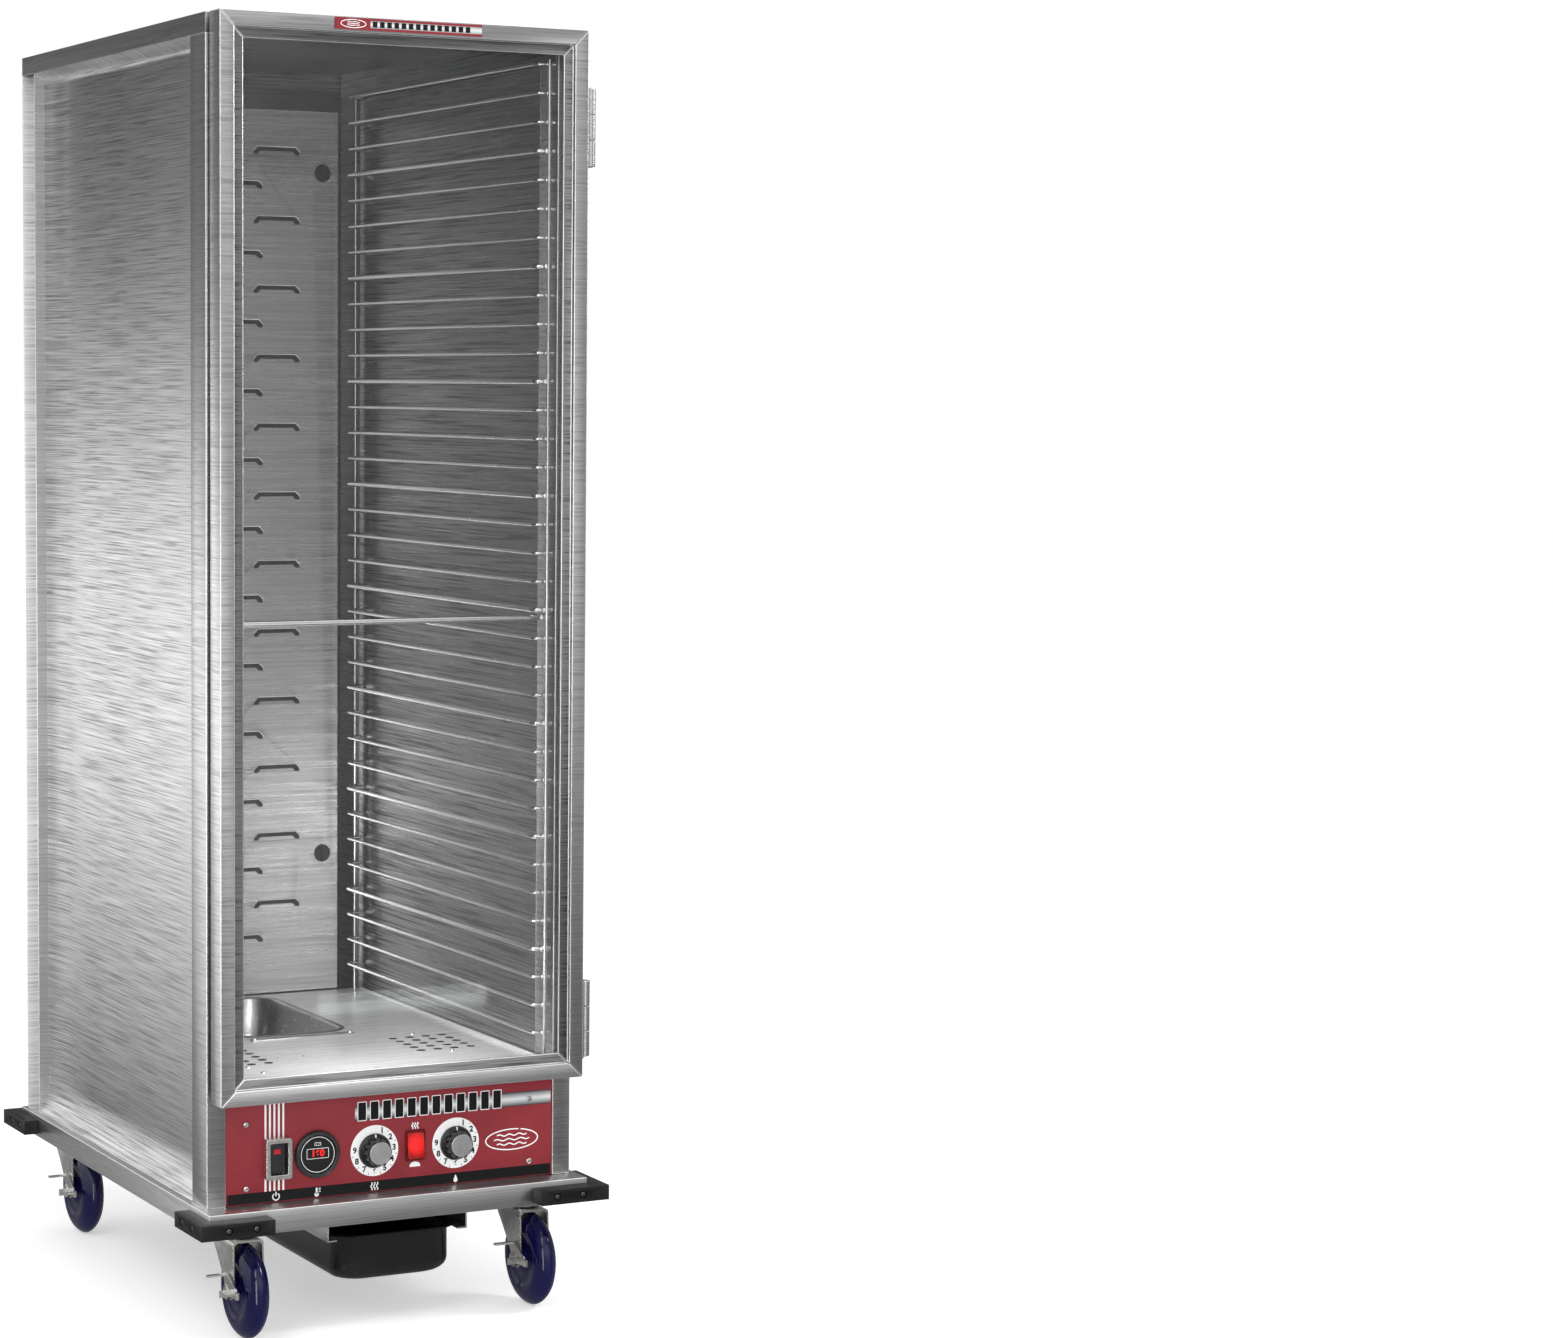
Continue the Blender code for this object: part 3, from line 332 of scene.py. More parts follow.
# The lighter edge colour paints a highlight along the bumper edges.
RUBBER = moulded(
    "bumper_rubber", (0.006, 0.006, 0.007), 0.3, 700.0, 0.00004, (0.04, 0.04, 0.042), 0.3,
    Specular_IOR_Level=0.15,
)
GASKET = moulded("gasket_rubber", (0.16, 0.16, 0.17), 0.55, 500.0, 0.0001)
NAVY = moulded("navy_tread", (0.0035, 0.003, 0.04), 0.12, 160.0, 0.00002, (0.01, 0.01, 0.06), 0.2)
RED = moulded(
    "red_panel", (0.165, 0.012, 0.018), 0.4, 1100.0, 0.00003, (0.36, 0.05, 0.06), 0.3, Specular_IOR_Level=0.2
)
INK_BLACK = printed("ink_black", (0.007, 0.007, 0.008))
INK_WHITE = printed("ink_white", (0.78, 0.78, 0.78))
INK_RED = printed("ink_red", (0.45, 0.012, 0.018))
LENS_RED = moulded("bezel_red", (0.09, 0.003, 0.004), 0.2, 800.0, 0.00004, (0.2, 0.01, 0.01), 0.3)
CLEAR = clear_sheet("clear_sheet")


# Shapes


def placed(name, data):
    """A new object for some data, in the scene."""
    obj = bpy.data.objects.new(name, data)
    bpy.context.scene.collection.objects.link(obj)
    return obj


def as_mesh(name, bm):
    """A mesh from an edit mesh, which it uses up."""
    mesh = bpy.data.meshes.new(name)
    bm.to_mesh(mesh)
    bm.free()
    return mesh


def blocks(*boxes):
    """Separate boxes, each given as (x0, x1), (y0, y1), (z0, z1)."""
    bm = bmesh.new()
    for xs, ys, zs in boxes:
        low = Vector((min(xs), min(ys), min(zs)))
        size = Vector((abs(xs[1] - xs[0]), abs(ys[1] - ys[0]), abs(zs[1] - zs[0])))
        place = Matrix.Translation(low + size / 2) @ Matrix.Diagonal((*size, 1))
        bmesh.ops.create_cube(bm, size=1.0, matrix=place)
    return bm


AXES = {"X": (1, 2, 0), "Y": (2, 0, 1), "Z": (0, 1, 2)}  # the two directions across each axis, and its own


def across(axis, u, v, distance):
    """A point from two places across an axis, in cyclic order, and a distance along it."""
    first, second, along = AXES[axis]
    point = Vector((0.0, 0.0, 0.0))
    point[first], point[second], point[along] = u, v, distance
    return point


def prism(outline, axis, start, end, bm=None):
    """An outline in the two directions after axis, in cyclic order, drawn out along axis."""
    bm = bm or bmesh.new()
    low, high = ([bm.verts.new(across(axis, u, v, at)) for u, v in outline] for at in (start, end))
    bm.faces.new(low)
    bm.faces.new(high)
    for i in range(len(low)):
        j = (i + 1) % len(low)
        bm.faces.new((low[i], low[j], high[j], high[i]))
    return bm


def facing(outline, front, back, bm=None):
    """A plate drawn in X and Z, between two depths."""
    return prism([(z, x) for x, z in outline], "Y", front, back, bm)


def circle(centre, radius, sides):
    turns = [2 * math.pi * i / sides for i in range(sides)]
    return [(centre[0] + radius * math.cos(a), centre[1] + radius * math.sin(a)) for a in turns]


def rounded(u0, u1, v0, v1, radius, steps=5):
    points = []
    west, east, south, north = u0 + radius, u1 - radius, v0 + radius, v1 - radius
    for quarter, (u, v) in enumerate(((east, north), (west, north), (west, south), (east, south))):
        for i in range(steps + 1):
            angle = math.pi / 2 * (quarter + i / steps)
            points.append((u + radius * math.cos(angle), v + radius * math.sin(angle)))
    return points


def loft(rings, bm=None, closed=False):
    """Skins rings with the same number of points; closed joins the last ring to the first."""
    bm = bm or bmesh.new()
    made = [[bm.verts.new(p) for p in ring] for ring in rings]
    pairs = list(zip(made, made[1:] + made[:1])) if closed else list(zip(made, made[1:]))
    for lower, upper in pairs:
        count = len(lower)
        for i in range(count):
            j = (i + 1) % count
            bm.faces.new((lower[i], lower[j], upper[j], upper[i]))
    if not closed:
        bm.faces.new(made[0])
        bm.faces.new(made[-1])
    return bm


def turned(profile, centre, axis, sides, bm=None, flutes=0, depth=0.0, fluted=()):
    """A solid of revolution from (radius, distance along axis) pairs; rings named in fluted get flutes."""
    closed = profile[0] == profile[-1]
    rings = []
    for number, (radius, distance) in enumerate(profile[:-1] if closed else profile):
        ring = []
        for i in range(sides):
            angle = 2 * math.pi * i / sides + math.pi / 2
            reach = radius
            if number in fluted:
                reach -= depth * (0.5 - 0.5 * math.cos(flutes * angle)) ** 2
            point = across(axis, reach * math.cos(angle), reach * math.sin(angle), distance)
            ring.append(point + Vector(centre))
        rings.append(ring)
    return loft(rings, bm, closed)


def bent(corners, radius, steps=5):
    """A path through corners, with each inner corner rounded."""
    points = [Vector(corners[0])]
    for before, corner, after in zip(corners, corners[1:], corners[2:]):
        corner = Vector(corner)
        back, on = (Vector(before) - corner).normalized(), (Vector(after) - corner).normalized()
        start, end = corner + back * radius, corner + on * radius
        for i in range(steps + 1):
            t = i / steps
            points.append(start * (1 - t) ** 2 + corner * 2 * t * (1 - t) + end * t**2)
    points.append(Vector(corners[-1]))
    return points


def tube(points, radius, sides=10, bm=None):
    """A round rod along a path."""
    points = [Vector(p) for p in points]
    rings = []
    normal = None
    for i, point in enumerate(points):
        ahead = (points[min(i + 1, len(points) - 1)] - points[max(i - 1, 0)]).normalized()
        if normal is None:
            normal = ahead.orthogonal().normalized()
        normal = (normal - ahead * normal.dot(ahead)).normalized()
        other = ahead.cross(normal)
        turns = [2 * math.pi * k / sides for k in range(sides)]
        rings.append([point + (normal * math.cos(a) + other * math.sin(a)) * radius for a in turns])
    return loft(rings, bm)


def combined(*shapes):
    """One mesh holding several, with the others freed."""
    first = shapes[0]
    for other in shapes[1:]:
        mesh = as_mesh("joined", other)
        first.from_mesh(mesh)
        bpy.data.meshes.remove(mesh)
    return first


def boolean(bm, tool, operation="DIFFERENCE"):
    """The exact Boolean of two closed meshes, both of which it uses up."""
    made = []
    for shape in (bm, tool):
        bmesh.ops.recalc_face_normals(shape, faces=shape.faces)
        made.append(placed("shape", as_mesh("shape", shape)))
    target, other = made
    modifier = target.modifiers.new("shape", "BOOLEAN")
    modifier.operation = operation
    modifier.solver = "EXACT"
    modifier.object = other
    bpy.context.view_layer.update()
    evaluated = target.evaluated_get(bpy.context.evaluated_depsgraph_get())
    out = bmesh.new()
    out.from_mesh(evaluated.to_mesh())
    evaluated.to_mesh_clear()
    for obj in made:
        mesh = obj.data
        bpy.data.objects.remove(obj)
        bpy.data.meshes.remove(mesh)
    bmesh.ops.dissolve_limit(out, angle_limit=math.radians(0.5), verts=out.verts, edges=out.edges)
    return out


def moved(bm, matrix):
    bmesh.ops.transform(bm, matrix=matrix, verts=bm.verts)
    return bm


def piece(
    name, bm, material, slot, nodes=(), edge=0.0, segments=2, sharp=38.0, shiny=False, zones=(), body=ROOT
):
    """A finished piece from a mesh in the row frame, riding on its body and standing for its CAD nodes.

    Its rounded edges can take a lighter metal, a painted highlight; zones are further materials, each with
    a test of a face's centre and normal.
    """
    if nodes:
        body = BODY_OF[nodes[0]]
    bmesh.ops.recalc_face_normals(bm, faces=bm.faces)
    for number, (_, test) in enumerate(zones, 1):
        for face in bm.faces:
            if test(face.calc_center_median(), face.normal):
                face.material_index = number
    mesh = as_mesh(name, bm)
    mesh.shade_smooth()
    for finish in (material, *(extra for extra, _ in zones)):
        mesh.materials.append(finish)
    obj = placed(name, mesh)
    # Bevel faces take the near-white edge metal: a painted highlight.
    if edge and shiny:
        mesh.materials.append(EDGE_HIGHLIGHT_METAL)
    if edge:
        bevel = obj.modifiers.new("edges", "BEVEL")
        bevel.width = edge
        bevel.segments = segments
        bevel.limit_method = "ANGLE"
        bevel.angle_limit = math.radians(sharp)
        bevel.harden_normals = True
        bevel.material = len(mesh.materials) - 1 if shiny else -1
    else:
        mesh.set_sharp_from_angle(angle=math.radians(sharp))
    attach(obj, body)
    if nodes:
        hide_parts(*nodes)
    return obj


def skin(node, bm, material, slot, *rest, **extra):
    """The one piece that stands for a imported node."""
    return piece(f"{node}_skin", bm, material, slot, (node,), *rest, **extra)


def middle(node):
    """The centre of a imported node's box."""
    return [(low + high) / 2 for low, high in zip(*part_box(node))]


def packed_mesh(node):
    """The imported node's own shape, with its triangles dissolved back into whole faces."""
    bm = bmesh.new()
    bm.from_mesh(frame["nodes"][node].data)
    bmesh.ops.remove_doubles(bm, verts=bm.verts, dist=1e-6)
    bmesh.ops.dissolve_limit(bm, angle_limit=math.radians(1.0), verts=bm.verts, edges=bm.edges)
    for layer in list(bm.loops.layers.uv):
        bm.loops.layers.uv.remove(layer)
    return bm


def softened(node, material, edge, segments=2, slot="aluminium", **extra):
    return skin(node, packed_mesh(node), material, slot, edge, segments, **extra)


def screw_head(x, y, z, radius, axis="Y", way=-1, bm=None):
    """A pan-head screw with a recess, standing out from a face."""
    profile = ((1.0, 0.0), (1.0, 0.25), (0.92, 0.65), (0.7, 0.95), (0.45, 1.0), (0.4, 0.45), (0.05, 0.45))
    height = way * 0.55 * radius
    return turned([(radius * r, height * d) for r, d in profile], (x, y, z), axis, 14, bm)


def screws(name, places, radius, axis="Y", way=-1):
    bm = bmesh.new()
    for place in places:
        screw_head(*place, radius, axis, way, bm)
    piece(name, bm, SCREW, "bright_steel")


# Base and bumpers

BUMPER_SCREW_DEEP = 0.0028
BUMPER_SCREW_INSETS = (0.038, 0.076)


def make_base():
    softened("base_frame", BASE_METAL, 0.001, shiny=True)
    for side, where in SIDES:
        for end, sign in ENDS:
            node = f"corner_bumper_{end}_{where}"
            low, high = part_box(node)
            z = middle(node)[2]
            front = high.y if sign > 0 else low.y
            outside = high.x if side > 0 else low.x
            heads, bores = bmesh.new(), bmesh.new()
            deep = BUMPER_SCREW_DEEP
            for inset in BUMPER_SCREW_INSETS:
                x, y = outside - side * inset, front - sign * inset
                screw_head(x, front - sign * deep, z, 0.004, "Y", sign, heads)
                screw_head(outside - side * deep, y, z, 0.004, "X", side, heads)
                for centre, axis, way in (((x, front, z), "Y", sign), ((outside, y, z), "X", side)):
                    turned([(0.0048, way * 0.01), (0.0048, -way * deep)], centre, axis, 24, bores)
            skin(node, boolean(packed_mesh(node), bores), RUBBER, "black_rubber", 0.0018, 3)
            piece(f"bumper_screws_{end}_{where}", heads, DARK_SCREW, "zinc")


# Casters

# Profiles are (radius, distance along the axle or the swivel); the wheel's is one half of it
WHEEL_PROFILE = (
    (0.0052, -0.0174), (0.012, -0.0174), (0.015, -0.0168), (0.0175, -0.0146), (0.0215, -0.0124),
    (0.029, -0.0122), (0.035, -0.0138), (0.039, -0.0154), (0.043, -0.016), (0.047, -0.0154),
    (0.0515, -0.014), (0.0555, -0.0117), (0.059, -0.0086), (0.0614, -0.0055), (0.0629, -0.0026),
    (WHEEL_RADIUS, 0.0),
)
RACE_PROFILE = (
    (0.0195, -0.0152), (0.0235, -0.015), (0.0262, -0.0135), (0.0268, -0.0115), (0.0262, -0.0085),
    (0.0285, -0.0065), (0.029, -0.003),
)
AXLE_PROFILE = (
    (0.0045, -0.02), (0.0045, 0.0215), (0.0095, 0.0215), (0.0098, 0.0225), (0.006, 0.023),
    (0.006, 0.0262), (0.0048, 0.0272),
)
# In Y and Z, from the axle
PEDAL_ARM = (
    (-0.0062, 0.0065), (0.0062, 0.0072), (0.011, 0.023), (0.001, 0.024), (-0.012, 0.019),
    (-0.033, 0.011), (-0.039, 0.0), (-0.018, -0.0035), (-0.009, -0.0046),
)
FORK_INSIDE = 0.019
FORK_SHEET = 0.0025
CROWN_LOW, CROWN_HIGH = 0.128, 0.1312
PEDAL_X = -0.0268


def mirrored(points):
    """The same points on the other side of zero, in their first value, backwards."""
    return [(-u, v) for u, v in reversed(points)]


def make_caster(where, end):
    spot = f"{end}_{where}"
    plate_low, plate_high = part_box(f"caster_plate_{spot}")
    x, y, _ = middle(f"caster_plate_{spot}")
    top = plate_high.z
    axle_y = y - CASTER_TRAIL
    axle = (x, axle_y, WHEEL_RADIUS)

    def part(kind, bm, material, slot, *rest, **extra):
        piece(f"caster_{kind}_skin_{spot}", bm, material, slot, (f"caster_{kind}_{spot}",), *rest, **extra)

    def around(points):
        return [(axle_y + v, WHEEL_RADIUS + w) for v, w in points]

    outline = rounded(plate_low.x, plate_high.x, plate_low.y, plate_high.y, 0.007)
    plate = prism(outline, "Z", top - 0.0035, top)
    part("plate", combined(plate, turned(RACE_PROFILE, (x, y, top), "Z", 48)), ZINC, "zinc", 0.0006)
    bolts = bmesh.new()
    for sx in (-1, 1):
        for sy in (-1, 1):
            place = (x + sx * 0.0235, y + sy * 0.0365, top)
            turned([(0.0056, -0.0035), (0.0056, -0.008), (0.0046, -0.0088)], place, "Z", 6, bolts)
    piece(f"caster_bolts_{spot}", bolts, SCREW, "zinc")

    # The fork is one bent sheet: a section across X, drawn along Y, with its sides then trimmed to the leg.
    leg = [(y - 0.036, CROWN_HIGH + 0.001), (y + 0.04, CROWN_HIGH + 0.001), (y + 0.04, CROWN_LOW - 0.003)]
    leg += [(y + 0.034, CROWN_LOW - 0.012), (y + 0.022, 0.104), (y + 0.006, 0.086)]
    turns = [-math.pi * k / 8 for k in range(1, 8)]
    foot = [(0.0145 * math.cos(a), 0.0115 * math.sin(a)) for a in turns]
    leg += around([(0.0145, 0.004), *foot, (-0.0145, 0.004)])
    leg += [(axle_y - 0.0135, 0.1), (y - 0.036, CROWN_LOW - 0.006)]
    inside, out = FORK_INSIDE, FORK_INSIDE + FORK_SHEET
    outer = [(out - 0.005, CROWN_HIGH), (out - 0.0015, CROWN_HIGH - 0.0015)]
    outer += [(out, CROWN_HIGH - 0.005), (out, 0.045)]
    inner = [(inside, 0.045), (inside, CROWN_LOW - 0.004), (inside - 0.004, CROWN_LOW)]
    section = mirrored(outer) + outer + inner + mirrored(inner)
    sheet_shape = prism([(z, x + u) for u, z in section], "Y", y - 0.05, y + 0.05)
    fork = boolean(sheet_shape, prism(leg, "X", x - 0.03, x + 0.03), "INTERSECT")
    king = turned([(0.012, 0.13), (0.012, 0.125), (0.009, 0.124)], (x, y, 0), "Z", 6)
    rod = turned(AXLE_PROFILE, axle, "X", 32)
    stub = turned([(0.0085, -0.0215), (0.0085, -0.0262), (0.0075, -0.0272)], axle, "X", 6)
    part("fork", combined(fork, king, rod, stub), ZINC, "zinc", 0.0006)

    half = list(WHEEL_PROFILE)
    profile = half + [(r, -d) for r, d in reversed(half[:-1])] + half[:1]
    part("wheel", turned(profile, axle, "X", 72), NAVY, "navy_tread", sharp=50.0)

    near = PEDAL_X
    hub = [(0.0092, near - 0.0006), (0.01, near), (0.01, near + 0.004), (0.0092, near + 0.0044)]
    hub += [(0.0088, near + 0.004), (0.0088, near), (0.0092, near - 0.0006)]
    arm = prism(around(PEDAL_ARM), "X", x + near + 0.0005, x + near + 0.003)
    boxes = []
    for outer_x, inner_x, ys, zs in (
        (-0.044, near + 0.002, (-0.044, -0.021), (-0.0015, 0.008)),
        (-0.05, near + 0.002, (0.003, 0.011), (0.02, 0.0225)),
        (-0.05, near - 0.002, (-0.05, -0.0225), (-0.004, 0.0062)),
    ):
        boxes.append(((x + outer_x, x + inner_x), [axle_y + v for v in ys], [WHEEL_RADIUS + w for w in zs]))
    tabs = boolean(blocks(*boxes[:2]), blocks(boxes[2]))
    part("brake", combined(turned(hub, axle, "X", 32), arm, tabs), ZINC, "zinc", 0.0009, 3)


# Shell


COVE_TOP = 0.018
COVE_BOTTOM = 0.05
COVE_REAR = 0.076
COVE_REAR_SHARE = 0.4
COVE_STEPS = 16


def dish_depth(y, z, top, bottom, rear):
    """How far the side sheet lies inside the outer plane: soft coves along its top, foot and rear edge."""

    def rise(distance, width):
        t = min(max(distance / width, 0.0), 1.0)
        return 1.0 - (1.0 - t) ** 2

    full = SIDE_HIGH.x - WALL_OUTER
    edge = rise(top - z, COVE_TOP) * rise(z - bottom, COVE_BOTTOM)
    back = 1.0 - COVE_REAR_SHARE * (1.0 - rise(rear - y, COVE_REAR))
    return full * edge * back


def make_side(side, where):
    low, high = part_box(f"side_panel_{where}")
    bottom, top = low.z, high.z
    outer_x = SIDE_HIGH.x
    front, rear = low.y, CHANNEL_FRONT + FIN / 2
    ys = [front] + [rear - COVE_REAR * (1 - i / COVE_STEPS) for i in range(COVE_STEPS + 1)]
    zs = [bottom + COVE_BOTTOM * (i / COVE_STEPS) ** 1.4 for i in range(COVE_STEPS + 1)]
    zs += [top - COVE_TOP * ((COVE_STEPS - i) / COVE_STEPS) ** 1.4 for i in range(COVE_STEPS + 1)]
    bm = bmesh.new()
    sheets = []
    for thickness in (0.0, SHEET):
        rows = []
        for z in zs:
            depths = [dish_depth(y, z, top, bottom, rear) + thickness for y in ys]
            rows.append([bm.verts.new((side * (outer_x - d), y, z)) for y, d in zip(ys, depths)])
        for lower, upper in zip(rows, rows[1:]):
            for i in range(len(ys) - 1):
                bm.faces.new((lower[i], lower[i + 1], upper[i + 1], upper[i]))
        sheets.append(rows)

    def rim(rows):
        edge = list(rows[0])
        edge += [row[-1] for row in rows[1:]]
        edge += list(reversed(rows[-1]))[1:]
        edge += [row[0] for row in reversed(rows[:-1])][:-1]
        return edge

    a, b = rim(sheets[0]), rim(sheets[1])
    for i in range(len(a)):
        j = (i + 1) % len(a)
        bm.faces.new((a[i], a[j], b[j], b[i]))
    out, web, inside, back = side * outer_x, side * WALL_OUTER, side * WALL_INNER, high.y
    ahead = CHANNEL_FRONT
    channel = [(out, ahead), (out, ahead + FIN), (web, ahead + FIN), (web, back - FIN)]
    channel += [(out, back - FIN), (out, back), (inside, back), (inside, ahead)]
    prism(channel, "Z", bottom, top, bm)

    def is_rear(centre, normal):
        return centre.y > CHANNEL_FRONT and abs(centre.x) > WALL_INNER + 0.001

    def is_inside(centre, normal):
        return normal.x * side < -0.5 and not is_rear(centre, normal)

    # The rear channel takes a lighter copy of the aluminium, painted light; the inner wall a darker one,
    # painted shade.
    zones = ((CHANNEL_LIT_METAL, is_rear), (WALL_SHADED_METAL, is_inside))
    node = f"side_panel_{where}"
    piece(f"side_panel_skin_{where}", bm, ALUMINIUM, "aluminium", (node,), 0.0006, 2, 45.0, zones=zones)
    softened(f"front_post_{where}", POST_METAL, 0.0012, shiny=True)


GLAND_PROFILE = (
    (0.0095, -0.018), (0.0118, -0.018), (0.012, -0.0005), (0.02, 0.0004), (0.0213, 0.0014),
    (0.0205, 0.0028), (0.014, 0.0032), (0.0132, 0.006), (0.0126, 0.0092), (0.0112, 0.0099),
    (0.0068, 0.0096), (0.0065, -0.01), (0.0095, -0.018),
)
GLAND_FACE = 0.394
BACK_SCREW_ZS = (0.21, 0.58, 0.95, 1.32, 1.66)


def make_shell():
    for side, where in SIDES:
        make_side(side, where)
    softened("back_panel", BACK_METAL, 0.0006)
    softened("top_cap", CAP_METAL, 0.001, 3)
    x, _, z = middle("power_inlet")
    skin("power_inlet", turned(GLAND_PROFILE, (x, GLAND_FACE, z), "Y", 48), BLACK, "black_plastic")
    places = [(x, BACK_LOW.y + SHEET, z) for x in (-0.222, 0.222) for z in BACK_SCREW_ZS]
    screws("back_screws", places, 0.0042, "Y", 1)


# Inside


def slide_height(number):
    return TOP_SLIDE - SLIDE_PITCH * (number - 1)


def make_rack(name, side, first, last):
    low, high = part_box(name)
    bm = bmesh.new()
    wall = side * (WALL_INNER - 0.0012)
    for number in range(first, last + 1):
        wire = HEAVY_WIRE if number % HEAVY_EVERY == 0 else WIRE
        z = slide_height(number)
        line = side * SLIDE_X
        turns = ((wall, SLIDE_FRONT), (line, SLIDE_FRONT), (line, SLIDE_BACK), (wall, SLIDE_BACK))
        corners = [(x, y, z) for x, y in turns]
        tube(bent(corners, 0.01), wire / 2, 12, bm)
        weld = wire * 0.62
        for y in (SLIDE_FRONT - UPRIGHT_OFFSET * 0.45, SLIDE_BACK + UPRIGHT_OFFSET * 0.45):
            place = Matrix.Translation((side * UPRIGHT_X, y, z)) @ Matrix.Diagonal((1.5, 0.85, 1.15, 1))
            bmesh.ops.create_icosphere(bm, subdivisions=2, radius=weld, matrix=place)
    for y in (SLIDE_FRONT - UPRIGHT_OFFSET, SLIDE_BACK + UPRIGHT_OFFSET):
        x = side * UPRIGHT_X
        ends = [(x, y, low.z), (x, y, low.z + 0.0008), (x, y, high.z - 0.0008), (x, y, high.z)]
        tube(ends, WIRE / 2, 12, bm)
    skin(name, bm, RACK_STEEL, "bright_steel", sharp=50.0)


def make_racks():
    for side, where in SIDES:
        make_rack(f"slide_rack_upper_{where}", side, 1, TIE_SLIDE)
        make_rack(f"slide_rack_lower_{where}", side, TIE_SLIDE + 1, SLIDES)
    _, y, z = middle("rack_tie_rod")
    end, collar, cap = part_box("rack_tie_rod")[1].x, 0.217, 0.2225
    half = [(0.0034, -end), (0.004, -end + 0.0006), (0.004, -cap), (0.0058, -cap), (0.0065, -cap + 0.0008)]
    half += [(0.0065, -collar - 0.0008), (0.0058, -collar), (0.004, -collar)]
    rod = turned(half + [(r, -x) for r, x in reversed(half)], (0, y, z), "X", 32)
    skin("rack_tie_rod", rod, RACK_STEEL, "bright_steel", sharp=50.0)


LOUVRE_ROWS = 12
LOUVRE_PITCH = 0.1018
LOUVRE_TOP = 1.5865
LOUVRE_HALF = 0.035
LOUVRE_TALL = 0.01
LOUVRE_LEAN = 0.1
LOUVRE_CHAMFER = 0.0068
SIGHT_X = 0.1765
SIGHT_ZS = (0.54, 1.5567)
SIGHT_RADIUS = 0.0132
LOUVRE_OUTER_X = 0.1035
LOUVRE_INNER_X = 0.045


def louvre_places():
    """Centres of the air slots: two staggered columns on each side of the middle."""
    for row in range(LOUVRE_ROWS):
        z = LOUVRE_TOP - row * LOUVRE_PITCH
        for side in (LEFT, RIGHT):
            yield side * LOUVRE_OUTER_X, z
            yield side * LOUVRE_INNER_X, z - LOUVRE_PITCH / 2


def louvre_outline(x, z, grow):
    """A tongue with chamfered upper corners, seen from the front."""
    half, low, high = LOUVRE_HALF + grow, z - LOUVRE_TALL / 2, z + LOUVRE_TALL / 2 + grow
    cut, shoulder = half - LOUVRE_CHAMFER, high - LOUVRE_CHAMFER
    right = [(x + half, low), (x + half, shoulder), (x + cut, high)]
    return [(x - half, low), *right, (x - cut, high), (x - half, shoulder)]


def make_duct():
    face = DUCT_LOW.y
    inner = DUCT_HIGH.x - SHEET
    through, behind = (face - 0.004, face + 0.006), (face + 0.003, face + 0.004)
    hollow = blocks(((-inner, inner), (face + SHEET, PAST_REAR), (0.2, DUCT_HIGH.z - SHEET)))
    bm = boolean(blocks(tuple(zip(DUCT_LOW, DUCT_HIGH))), hollow)
    slots, tongues, painted_shade_pockets, painted_shade_backers, rim_highlights = (bmesh.new() for _ in range(5))
    for x, z in louvre_places():
        facing(louvre_outline(x, z, 0.0012), *through, slots)
        # Black pockets behind the slots paint the shade inside them.
        facing(louvre_outline(x, z, 0.003), *behind, painted_shade_pockets)
        outline = [(u, v - 0.002) for u, v in louvre_outline(x, z, -0.003)]
        low = z - LOUVRE_TALL / 2
        rings = []
        for depth in (0.0, 0.0012):
            near = face + 0.0003 + depth
            rings.append([Vector((u, near + (v - low) * LOUVRE_LEAN, v)) for u, v in outline])
        loft(rings, tongues)
        # A thin near-white rim along each slot's upper edges: a painted highlight.
        path = [(u, face - 0.0002, v) for u, v in louvre_outline(x, z, 0.0018)[2:]]
        tube(path, 0.001, 6, rim_highlights)
    for x in (-SIGHT_X, SIGHT_X):
        for z in SIGHT_ZS:
            facing(circle((x, z), SIGHT_RADIUS, 40), *through, slots)
            # Black plates behind the sight holes paint the shade inside them.
            for low, high in ((-0.018, -0.001), (0.001, 0.018)):
                facing(rounded(x + low, x + high, z - 0.02, z + 0.02, 0.003, 3), *behind, painted_shade_backers)
    piece("sight_hole_painted_shade_backers", painted_shade_backers, BLACK, "module_metal", (), 0.0002)
    piece("louvre_painted_shade_pockets", painted_shade_pockets, BLACK, "module_metal")
    skin("duct_panel", combined(boolean(bm, slots), tongues), INNER_SHADED_METAL, "aluminium", 0.0007)
    piece("louvre_rim_highlights", rim_highlights, LOUVRE_HIGHLIGHT_METAL, "aluminium", sharp=60.0)


def vent_places():
    """Centres of the hot-air holes in the deck, a slanted grid on each side."""
    for side in (LEFT, RIGHT):
        for column in range(5):
            for row in range(4):
                yield side * (0.112 + 0.025 * row), -0.098 - 0.0245 * column


PAN_HALF, PAN_FRONT, PAN_BACK = 0.079, -0.01, 0.3
VENT_RADIUS = 0.0066


